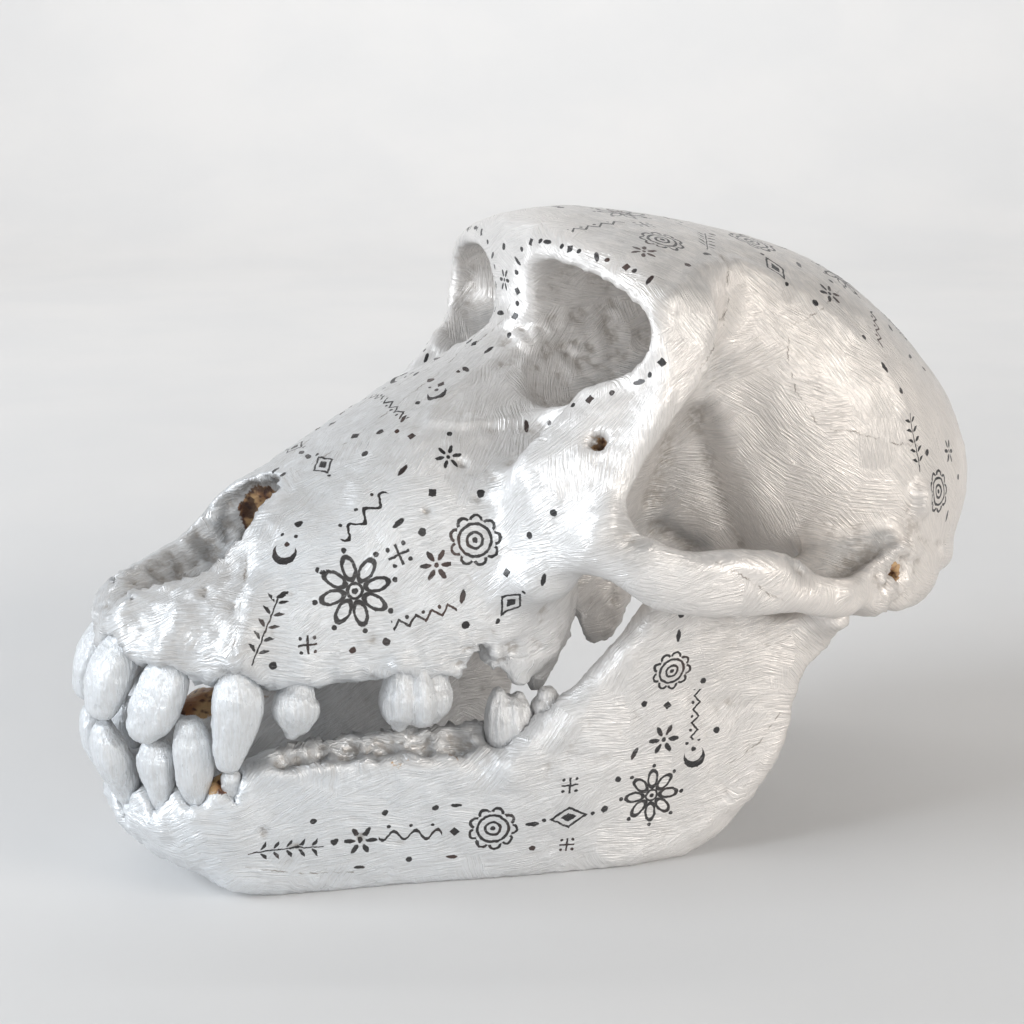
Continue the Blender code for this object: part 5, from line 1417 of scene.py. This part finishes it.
def carve_skull(ob):
    tool = Carver(ob)
    tool.rub(TEMPLE_VALLEY, 5.0, 12)
    x, y, z = tool.points.T
    up = tool.normals[:, 2]
    cx, cz = ORBIT_MIDDLE
    rim = [from_front(tool.tree, cx + (px - cx) * RIM_ROOM, cz + (pz - cz) * RIM_ROOM)
           for px, pz in round_ring(ORBIT_RIM, 2)]
    rim = [p for p in rim if p is not None]
    tool.stroke(rim + rim[:1], 1.8, 0.55)
    for path, width, rise in SKULL_FORMS.values():
        tool.photo_stroke(path, width, rise)
    # Painted shade in the temple pit and on the shelf over the arch root.
    tool.paint_shade_along(TEMPLE_PIT, 5.5, 0.9)
    tool.paint_shade_along(SHELF, 4.0, 0.6)
    tool.drill(FACE_HOLE, 1.25, 3.4, 0.8)
    for spot in SMALL_HOLES:
        tool.drill(spot, 0.6, 0.8)
    seat_teeth(tool, "upper", 7.0)
    muzzle = spread(-y, -4.0, 8.0)
    snout = spread(-y, 46.0, 56.0)
    nose = lines_hollow(tool.points, tool.normals, NOSE, 1.2)
    ear = np.linalg.norm(tool.points[:, 1:] - np.mean(np.array(EAR_SLIT)[:, 1:], 0), axis=1)
    for amount, pitch, share, seed in (
            (0.16, 5.0, 1.0, 0.0), (0.17, 1.7, 0.35 + 0.65 * muzzle, 0.0), (0.22, 1.5, snout, 5.0),
            (0.5, 2.2, spread(-z, -42.0, -37.0) * muzzle, 9.0),
            (1.1, 2.0, spread(-near_path(tool.points, [BROKEN_SPOT]), -9.0, -4.0), 3.0),
            (0.5, 2.6, spread(-near_path(tool.points, [ROUGH_LUMP]), -16.0, -8.0), 4.0),
            (0.8, 2.8, spread(-near_pair(tool.points, INNER_EYE_WALL), -9.0, -4.0), 2.0),
            (0.8, 2.2, nose, 6.0),
            (1.3, 1.9, spread(-ear, -8.5, -3.5) * (np.abs(x) > 26.0), 12.0)):
        tool.rasp(amount, pitch, share, seed)
    high = near_path(tool.points, NOSE_TOP)
    tool.bare += nose * spread(-high, -5.8, -3.6)
    tool.bare += lines_hollow(tool.points, tool.normals, BRAIN, 1.0)
    tool.bare += lines_hollow(tool.points, tool.normals, GREAT_HOLE, 0.5) * spread(z, 40.0, 48.0)
    tool.bare += (ear < 2.0) * (np.abs(x) < 38.0) * (np.abs(x) > 30.0)
    behind_teeth = spread(-np.abs(y + 60.0), -6.0, -3.0) * spread(-np.abs(z - 33.0), -6.0, -3.0)
    tool.bare += 0.9 * behind_teeth * (np.abs(x) < 14.0)
    # Inside the nose: thinner paint towards the bare bone at the top, and painted shade along the whole
    # passage.
    tool.thin_and_shade += 0.35 * nose + 0.6 * nose * spread(-high, -7.5, -5.0)
    tool.thin_and_shade += 0.75 * snout * spread(z, 36.0, 41.0)
    # Painted shade on the upward faces of the top of the muzzle.
    tool.thin_and_shade += 0.55 * spread(up, 0.45, 0.85) * spread(-y, 2.0, 12.0) * spread(z, 50.0, 58.0)
    # Painted shade deep in both eye sockets, and darker still in the far one.
    eye = near_pair(tool.points, EYE_SOCKET)
    tool.thin_and_shade += 0.3 * spread(-eye, -14.0, -10.0) * spread(y, -2.0, 8.0)
    tool.thin_and_shade += 0.8 * spread(-eye, -14.0, -11.0) * spread(-x, 8.0, 10.0) * spread(y, -8.0, -1.0)
    # Painted shade on the upward faces of the brow and the vault.
    tool.thin_and_shade += 0.85 * spread(up, 0.35, 0.8) * spread(y, 0.0, 10.0)
    # Painted shade in the temple hollow.
    tool.thin_and_shade += 0.4 * spread(-near_path(tool.points, TEMPLE), -13.0, -7.0)
    tool.settle()


def carve_jaw(ob):
    tool = Carver(ob)
    x, y, z = tool.points.T
    for spot in JAW_HOLES:
        tool.drill(spot, 0.6, 0.9)
    for path, width, rise in JAW_FORMS.values():
        tool.photo_stroke(path, width, rise)
    seat_teeth(tool, "lower", 5.0)
    row = spread(z, 20.0, 23.0) * spread(-y, 14.0, 18.0) * spread(y, -50.0, -46.0)
    for amount, pitch, share, seed in (
            (0.2, 4.0, 1.0, 0.0), (0.14, 1.8, 1.0, 0.0), (0.8, 2.4, row, 3.0),
            (1.1, 1.35, row * spread(-np.abs(x), -22.0, -19.5), 7.0),
            (0.3, 2.0, spread(-y, 52.0, 60.0), 8.0)):
        tool.rasp(amount, pitch, share, seed)
    craters = unevenness(tool.points, 3.0)
    tool.bare += 0.8 * row * spread(craters, 0.2, 0.5) * spread(-z, -24.5, -21.0)
    for spot, reach in BARE_JAW_SPOTS:
        tool.bare += spread(-near_path(tool.points, [spot]), -reach, -0.4 * reach)
    # Greyer along the broken tooth row, and a little over the ramus.
    tool.thin_and_shade += 0.6 * row + 0.2 * spread(z, 10.0, 30.0) * spread(y, 0.0, 10.0)
    tool.settle()


def draw_seams(faces, lines):
    """Give the faces beside each hair line their place along and across it, in mm, and the
    line's kind: 1 for a crack, 2 for a seam that winds."""
    count = len(faces.middle)
    best = np.full(count, 2.2)
    place = np.zeros((len(faces.corner), 3))
    for kind, path in lines:
        way = 0.0
        path = [np.array(p) for p in path]
        for a, b in zip(path, path[1:]):
            run = b - a
            size = np.linalg.norm(run)
            run = run / max(size, 1e-6)
            s = (faces.middle - a) @ run
            nearest = a + np.clip(s, 0.0, size)[:, None] * run
            d = np.linalg.norm(faces.middle - nearest, axis=1)
            fits = (d < best) & (s > -1.0) & (s < size + 1.0)
            best[fits] = d[fits]
            mine = fits[faces.owner]
            normal = faces.normal[fits].mean(0) if fits.any() else np.array([0.0, 0.0, 1.0])
            side = np.cross(normal, run)
            side /= max(np.linalg.norm(side), 1e-6)
            d = faces.corner[mine] - a
            place[mine] = np.stack([d @ run + way, d @ side, np.full(mine.sum(), kind)], 1)
            way += size
    put_attribute(faces.mesh, "seam", place)


def seam_lines(tree, kind, paths):
    """Hair lines of one kind, on both sides."""
    lines = []
    for pixels in paths:
        path = trace(tree, pixels)
        lines += [(kind, path), (kind, mirrored(tree, path))]
    return lines


def seam_mask(w):
    """Dark hair line of the cracks and seams."""
    place = w.read("seam", "Vector")
    split = w.node("SeparateXYZ", {0: place})
    s, d, kind = split.outputs["X"], split.outputs["Y"], split.outputs["Z"]
    reach = w.node("CombineXYZ", {0: s})
    wind = w.noise(reach.outputs[0], 0.8, 4.0, 0.7)
    sway = w.times(w.minus(wind, 0.5), w.times(kind, 1.1))
    off = w.math("ABSOLUTE", w.plus(d, sway))
    line = w.ramp(off, 0.05, 0.17, 1.0, 0.0)
    known = w.math("GREATER_THAN", kind, 0.5)
    broken = w.ramp(w.noise(reach.outputs[0], 0.35, 2.0), 0.42, 0.58)
    return w.times(w.times(line, known), broken)


def carve_tooth(ob, spec, side):
    """Edges along both sides of the outer face, lengthwise ripples and a little unevenness."""
    mesh = ob.data
    points, normals = read_points(mesh), read_normals(mesh)
    turn, masses = spec
    wide = np.array([side * math.cos(math.radians(turn)), math.sin(math.radians(turn)), 0.0])
    first, last = np.array(masses[0][0][:3]), np.array(masses[0][-1][:3])
    axis = (last - first) * np.array([side, 1.0, 1.0])
    axis /= np.linalg.norm(axis)
    outer = np.cross(wide, axis)
    outer *= np.sign(outer[0] * side - outer[1])
    rows = along(np.array(masses[0], float)[:, :3] * np.array([side, 1.0, 1.0]), 4)
    away = points[:, None, :] - rows[None, :, :]
    nearest = np.argmin(np.linalg.norm(away, axis=2), axis=1)
    away = points - rows[nearest]
    angle = np.degrees(np.arctan2(away @ wide, away @ outer))
    share = nearest / (len(rows) - 1.0)
    crown = spread(share, 0.3, 0.5) * spread(-share, -1.0, -0.86)
    edges = np.exp(-((np.abs(angle) - 58.0) / 13.0) ** 2)
    face = np.exp(-(angle / 38.0) ** 2)
    rise = crown * (0.30 * edges - 0.16 * face)
    ripple = np.array([noise.noise(Vector((a / 9.0, t * 1.6, 3.0 * side)))
                       for a, t in zip(angle, share)])
    rise += 0.07 * ripple + 0.13 * unevenness(points, 1.8)
    write_points(mesh, points + normals * rise[:, None])


class Skull_PG_paint(bpy.types.PropertyGroup):
    """Colours and finish of the paint and the ink."""

    cool_paint: bpy.props.FloatVectorProperty(
        name="Cool paint", description="Pearl white on the front of the face and the teeth",
        subtype="COLOR", size=3, min=0.0, max=1.0, default=(0.74, 0.77, 0.80))
    warm_paint: bpy.props.FloatVectorProperty(
        name="Warm paint", description="Pearl white on the back of the head",
        subtype="COLOR", size=3, min=0.0, max=1.0, default=(0.84, 0.79, 0.745))
    # Grey of thin paint, and also of the painted shade in hollows, pits, eye sockets and on upward
    # faces.
    grey_paint_and_shade: bpy.props.FloatVectorProperty(
        name="Thin paint", description="Grey of the paint where the brush left little of it",
        subtype="COLOR", size=3, min=0.0, max=1.0, default=(0.50, 0.49, 0.48))
    ink: bpy.props.FloatVectorProperty(
        name="Ink", description="Black of the pen",
        subtype="COLOR", size=3, min=0.0, max=1.0, default=(0.012, 0.011, 0.012))
    pearl: bpy.props.FloatProperty(
        name="Pearl", description="How metallic the paint is", default=0.4, min=0.0, max=1.0,
        subtype="FACTOR")
    coat: bpy.props.FloatProperty(
        name="Coat", description="Strength of the satin varnish", default=0.35, min=0.0, max=1.0,
        subtype="FACTOR")
    relief: bpy.props.FloatProperty(
        name="Brush relief", description="Strength of the brush strokes' relief",
        default=0.75, min=0.0, max=1.0, subtype="FACTOR")


class Skull_PG_clay(bpy.types.PropertyGroup):
    """Grain of the modelled bones and teeth."""

    bone_grain: bpy.props.FloatProperty(
        name="Bone grain", description="Size of the faces of the two bones", unit="LENGTH",
        default=0.88 * MM, min=0.4 * MM, max=3.0 * MM)
    tooth_grain: bpy.props.FloatProperty(
        name="Tooth grain", description="Size of the faces of the teeth", unit="LENGTH",
        default=0.3 * MM, min=0.15 * MM, max=1.0 * MM)


def bone_flow(middle):
    """Direction of the brush strokes: along the muzzle and the jaw, fanning over the vault."""
    x, y, z = middle.T
    run = np.stack([0.15 * np.sign(x), np.ones_like(x), 0.25 * np.ones_like(x)], 1)
    upper = (z > 88) & (y > -8)
    run[upper] = np.stack([0.9 * np.sign(x), 0.5 * np.ones_like(x), -0.4 * np.ones_like(x)], 1)[upper]
    face = (y < 8) & (z > 66) & ~upper
    run[face] = (0.0, 0.35, 1.0)
    back = (y > 30) & (z < 88)
    run[back] = np.stack([0.2 * np.sign(x), 0.75 * np.ones_like(x), -0.65 * np.ones_like(x)], 1)[back]
    return run


def surface_tree(mesh):
    return BVHTree.FromPolygons([v.co for v in mesh.vertices],
                                [p.vertices for p in mesh.polygons])


def hollow_level(mesh, rounds=6):
    """How deep each vertex lies in a hollow, from 0 to 1, by comparison with its smoothed place."""
    points = read_points(mesh)
    normal = read_normals(mesh)
    a, b = read_array(mesh.edges, "vertices", 2, np.int32).T
    count = np.bincount(np.concatenate([a, b]), minlength=len(points))[:, None]
    smooth = points.copy()
    for _ in range(rounds):
        total = np.zeros_like(points)
        np.add.at(total, a, smooth[b])
        np.add.at(total, b, smooth[a])
        smooth = total / np.maximum(count, 1)
    rise = np.sum((smooth - points) * normal, 1)
    return np.clip(rise / 0.35, 0.0, 1.0)


def warmth_level(points):
    """From -0.5, cool, on the front of the face to 0.5, warm, on the back of the head."""
    return np.clip((points[:, 1] + 5.0) / 90.0 + (points[:, 2] - 60.0) / 400.0, -0.5, 0.5)


def tint_points(mesh):
    """How hollow the surface is and how warm its paint, point by point."""
    put_attribute(mesh, "hollow", hollow_level(mesh))
    put_attribute(mesh, "warmth", warmth_level(read_points(mesh)))


def dress(ob, drawing, lines, seed, sockets=False):
    """Everything that the paint needs to know about the surface."""
    faces = Faces(ob.data)
    lay_brush(faces, seed)
    tree = surface_tree(ob.data)
    stamps = place_stamps(tree, drawing) + (socket_border(tree) if sockets else [])
    drawn = draw_ornaments(faces, tree, stamps)
    draw_seams(faces, seam_lines(tree, *lines))
    tint_points(ob.data)
    return drawn


def coat_with(ob, paint, drawn=None, inked=None):
    """Paint the piece; the faces under an ornament get the second material, which has the ink."""
    ob.data.materials.clear()
    ob.data.materials.append(paint)
    index = np.zeros(len(ob.data.polygons), np.int32)
    if inked is not None:
        ob.data.materials.append(inked)
        index = drawn.astype(np.int32)
    ob.data.polygons.foreach_set("material_index", index)


def level_foot(ob):
    """Nothing of the piece reaches under the table."""
    points = read_points(ob.data)
    points[:, 2] = np.maximum(points[:, 2], 0.0)
    write_points(ob.data, points)


CUTTER_GRAIN = 0.8      # of the hollows' cutters, mm
ROOM_GRAIN = 1.1        # of the room that the jaw needs in the skull


def rough_bone(name, masses, hollows, grain):
    """A bone's masses fused, with its hollows cut out."""
    bone = as_object(name + "_looks", masses)
    fuse(bone, grain, 2, CLOSE)
    cutter = as_object(name + "_hollows", hollows)
    fuse(cutter, CUTTER_GRAIN, 2)
    combine(bone, cutter)
    return bone


def even_bone(bone, teeth, grain):
    """Tooth sockets cut, and the skin made even again."""
    combine(bone, socket_cutter(teeth))
    clay(bone, grain)
    soften(bone, 1)
    settle(bone)
    keep_largest(bone)


def paint_bone(bone, name, drawn):
    coat_with(bone, paint_material(name + " paint", ink=False), drawn,
              paint_material(name + " ink"))


class Skull_OT_jaw(bpy.types.Operator):
    """Model the lower jaw and tie it to its node"""

    bl_idname = "skull.jaw"
    bl_label = "Lower jaw"

    def execute(self, context):
        grain = context.scene.skull_clay.bone_grain / MM
        jaw = rough_bone("mandible", mandible_masses(), mandible_hollows(), grain)
        even_bone(jaw, "lower", grain)
        carve_jaw(jaw)
        level_foot(jaw)
        paint_bone(jaw, "jaw", dress(jaw, JAW_DRAWING, JAW_LINES, 3))
        finish_piece(jaw, "mandible")
        return {"FINISHED"}


class Skull_OT_skull(bpy.types.Operator):
    """Model the skull and tie it to its node"""

    bl_idname = "skull.skull"
    bl_label = "Skull"

    def execute(self, context):
        grain = context.scene.skull_clay.bone_grain / MM
        skull = rough_bone("cranium", cranium_masses(), cranium_hollows(), grain)
        room = as_object("jaw_room", mandible_masses())
        fuse(room, ROOM_GRAIN, 3, CLOSE)
        swell(room, JOINT_ROOM)
        settle(room)
        combine(skull, room)
        even_bone(skull, "upper", grain)
        carve_skull(skull)
        paint_bone(skull, "skull", dress(skull, SKULL_DRAWING, SKULL_LINES, 7, sockets=True))
        finish_piece(skull, "cranium")
        return {"FINISHED"}


def crown_shells(spec, mirror):
    """The tooth's masses and, between two lobes, the body that joins them under the groove."""
    angle, masses = spec
    if len(masses) > 1:
        first, last = np.array(masses[0], float), np.array(masses[-1], float)
        body = (first + last) / 2.0
        body[:, 3:] *= (0.9, 1.0)
        body[:, 4] += np.abs(first[:, 1] - last[:, 1]) * 0.25
        masses = masses + [[tuple(row) for row in body[:-1]]]
    return tooth_shells((angle, masses), 0.0, mirror, 4, 20)


class Skull_OT_teeth(bpy.types.Operator):
    """Model every tooth and tie it to its node"""

    bl_idname = "skull.teeth"
    bl_label = "Teeth"

    def execute(self, context):
        grain = context.scene.skull_clay.tooth_grain / MM
        paint = paint_material("tooth paint", strokes=False, ink=False)
        for name, spec in TEETH.items():
            for side, mirror in (("left", False), ("right", True)):
                tooth = as_object(f"{name}_{side}_looks", crown_shells(spec, mirror))
                fuse(tooth, grain, 2)
                keep_largest(tooth)
                carve_tooth(tooth, spec, -1.0 if mirror else 1.0)
                tint_points(tooth.data)
                coat_with(tooth, paint)
                finish_piece(tooth, f"{name}_{side}")
        return {"FINISHED"}


def floor_material():
    w = Wiring("pale table")
    spot = w.node("TexCoord").outputs["Object"]
    cloud = w.noise(spot, 9.0, 3.0)
    colour = w.mix(w.ramp(cloud, 0.3, 0.7), (0.66, 0.665, 0.67, 1.0), (0.69, 0.69, 0.69, 1.0))
    surface = w.node("BsdfPrincipled", {"Base Color": colour, "Roughness": 0.75})
    w.node("OutputMaterial", {"Surface": surface.outputs[0]})
    return w.mat


def area_light(name, place, target, size, power, colour):
    lamp = bpy.data.lights.new(name, "AREA")
    lamp.shape = "RECTANGLE"
    lamp.size, lamp.size_y = size
    lamp.energy = power
    lamp.color = colour
    ob = bpy.data.objects.new(name, lamp)
    ob.location = place
    ob.rotation_euler = (Vector(target) - Vector(place)).to_track_quat("-Z", "Y").to_euler()
    bpy.context.scene.collection.objects.link(ob)


# Lamps: their place and what they aim at, against the skull (to the right, towards the camera,
# up, in metres), size, watts and colour.
LAMPS = [
    ("window", (-0.75, 0.25, 0.35), (0.0, 0.0, 0.0), (0.5, 0.45), 7.0, (0.90, 0.95, 1.0)),
    ("room side", (0.35, 1.15, 0.3), (0.0, 0.0, 0.0), (0.9, 0.6), 3.6, (1.0, 0.98, 0.95)),
    ("warm side", (0.75, 0.45, 0.30), (0.0, 0.0, 0.0), (0.4, 0.4), 3.3, (1.0, 0.94, 0.87)),
    ("wall wash", (0.0, -0.45, 0.95), (0.0, -1.3, 0.35), (1.6, 0.3), 10.5, (1.0, 0.99, 0.98)),
]
ROOM_LIGHT = 0.62
ROOM_GLOW = ((0.0, (0.95, 0.96, 0.98, 1.0)), (0.85, (0.34, 0.32, 0.30, 1.0)))   # wall, ceiling
TABLE_REACH = 3.0           # half width of the table and its backdrop, m
TABLE_FRONT = 1.6           # from the skull towards and past the camera
TABLE_BACK = 0.85           # from the skull to where the backdrop starts to rise
BACKDROP_BEND = 0.5         # radius of the bend
BACKDROP_RISE = 1.6


def lay_table(target, flat_back, right):
    """Pale sheet that runs under the skull and rises behind it in one bend."""
    foot = Vector((target.x, target.y, 0.0))
    bm = bmesh.new()
    profile = [foot + flat_back * TABLE_FRONT, foot - flat_back * TABLE_BACK]
    for k in range(1, 13):
        turn = math.radians(90.0 * k / 12)
        profile.append(foot - flat_back * (TABLE_BACK + BACKDROP_BEND * math.sin(turn))
                       + Vector((0.0, 0.0, BACKDROP_BEND * (1.0 - math.cos(turn)))))
    profile.append(profile[-1] + Vector((0.0, 0.0, BACKDROP_RISE)))
    verts = [bm.verts.new(p - right * TABLE_REACH) for p in profile]
    edges = [bm.edges.new(pair) for pair in zip(verts, verts[1:])]
    made = bmesh.ops.extrude_edge_only(bm, edges=edges)["geom"]
    far = [g for g in made if isinstance(g, bmesh.types.BMVert)]
    bmesh.ops.translate(bm, verts=far, vec=right * (2.0 * TABLE_REACH))
    bmesh.ops.recalc_face_normals(bm, faces=bm.faces)
    mesh = bpy.data.meshes.new("table")
    bm.to_mesh(mesh)
    bm.free()
    mesh.shade_smooth()
    table = bpy.data.objects.new("table", mesh)
    mesh.materials.append(floor_material())
    bpy.context.scene.collection.objects.link(table)


def room_light(scene):
    """Light of a pale room: bright walls, a dimmer ceiling."""
    world = bpy.data.worlds.new("room light")
    world.use_nodes = True
    tree = world.node_tree
    tree.nodes.clear()
    place = tree.nodes.new("ShaderNodeTexCoord")
    split = tree.nodes.new("ShaderNodeSeparateXYZ")
    tree.links.new(place.outputs["Generated"], split.inputs[0])
    ramp = tree.nodes.new("ShaderNodeValToRGB")
    for stop, (position, colour) in zip(ramp.color_ramp.elements, ROOM_GLOW):
        stop.position = position
        stop.color = colour
    tree.links.new(split.outputs["Z"], ramp.inputs[0])
    light = tree.nodes.new("ShaderNodeBackground")
    light.inputs["Strength"].default_value = ROOM_LIGHT
    tree.links.new(ramp.outputs[0], light.inputs["Color"])
    out = tree.nodes.new("ShaderNodeOutputWorld")
    tree.links.new(light.outputs[0], out.inputs["Surface"])
    scene.world = world


class Skull_OT_stage(bpy.types.Operator):
    """Lay the pale table, set the lights and the camera"""

    bl_idname = "skull.stage"
    bl_label = "Table, lights and camera"

    def execute(self, context):
        eye, right, _, back = photo_eye()
        target = CAMERA_TARGET + SHIFT
        lens = bpy.data.cameras.new("camera")
        lens.lens = CAMERA_LENS
        lens.sensor_width = CAMERA_SENSOR
        lens.clip_start = 0.01
        camera = bpy.data.objects.new("camera", lens)
        camera.location = eye + SHIFT
        camera.rotation_euler = back.to_track_quat("Z", "Y").to_euler()
        context.scene.collection.objects.link(camera)
        context.scene.camera = camera

        flat_back = Vector((back.x, back.y, 0.0)).normalized()
        lay_table(target, flat_back, right)
        room_light(context.scene)
        up = Vector((0.0, 0.0, 1.0))
        for name, place, aim, size, power, colour in LAMPS:
            start, end = (target + right * side + flat_back * front + up * rise
                          for side, front, rise in (place, aim))
            area_light(name, start, end, size, power, colour)
        context.scene.view_settings.view_transform = "Standard"
        return {"FINISHED"}


class Skull_PT_panel(bpy.types.Panel):
    """Lists the pieces in the order in which they are made"""

    bl_label = "Painted baboon skull"
    bl_idname = "SKULL_PT_panel"
    bl_space_type = "VIEW_3D"
    bl_region_type = "UI"
    bl_category = "Skull"

    def draw(self, context):
        column = self.layout.column()
        for group in (context.scene.skull_clay, context.scene.skull_paint):
            for name in group.bl_rna.properties.keys():
                if name not in ("rna_type", "name"):
                    column.prop(group, name)
        for step in STEPS:
            column.operator(step.bl_idname)


STEPS = (Skull_OT_stage, Skull_OT_skull, Skull_OT_jaw, Skull_OT_teeth)
CLASSES = (Skull_PG_paint, Skull_PG_clay) + STEPS + (Skull_PT_panel,)


def register():
    for cls in CLASSES:
        bpy.utils.register_class(cls)
    bpy.types.Scene.skull_paint = bpy.props.PointerProperty(type=Skull_PG_paint)
    bpy.types.Scene.skull_clay = bpy.props.PointerProperty(type=Skull_PG_clay)


def unregister():
    del bpy.types.Scene.skull_clay
    del bpy.types.Scene.skull_paint
    for cls in reversed(CLASSES):
        bpy.utils.unregister_class(cls)


def main():
    register()
    bpy.ops.skull.stage()
    bpy.ops.skull.skull()
    bpy.ops.skull.jaw()
    bpy.ops.skull.teeth()


if __name__ == "__main__":
    main()
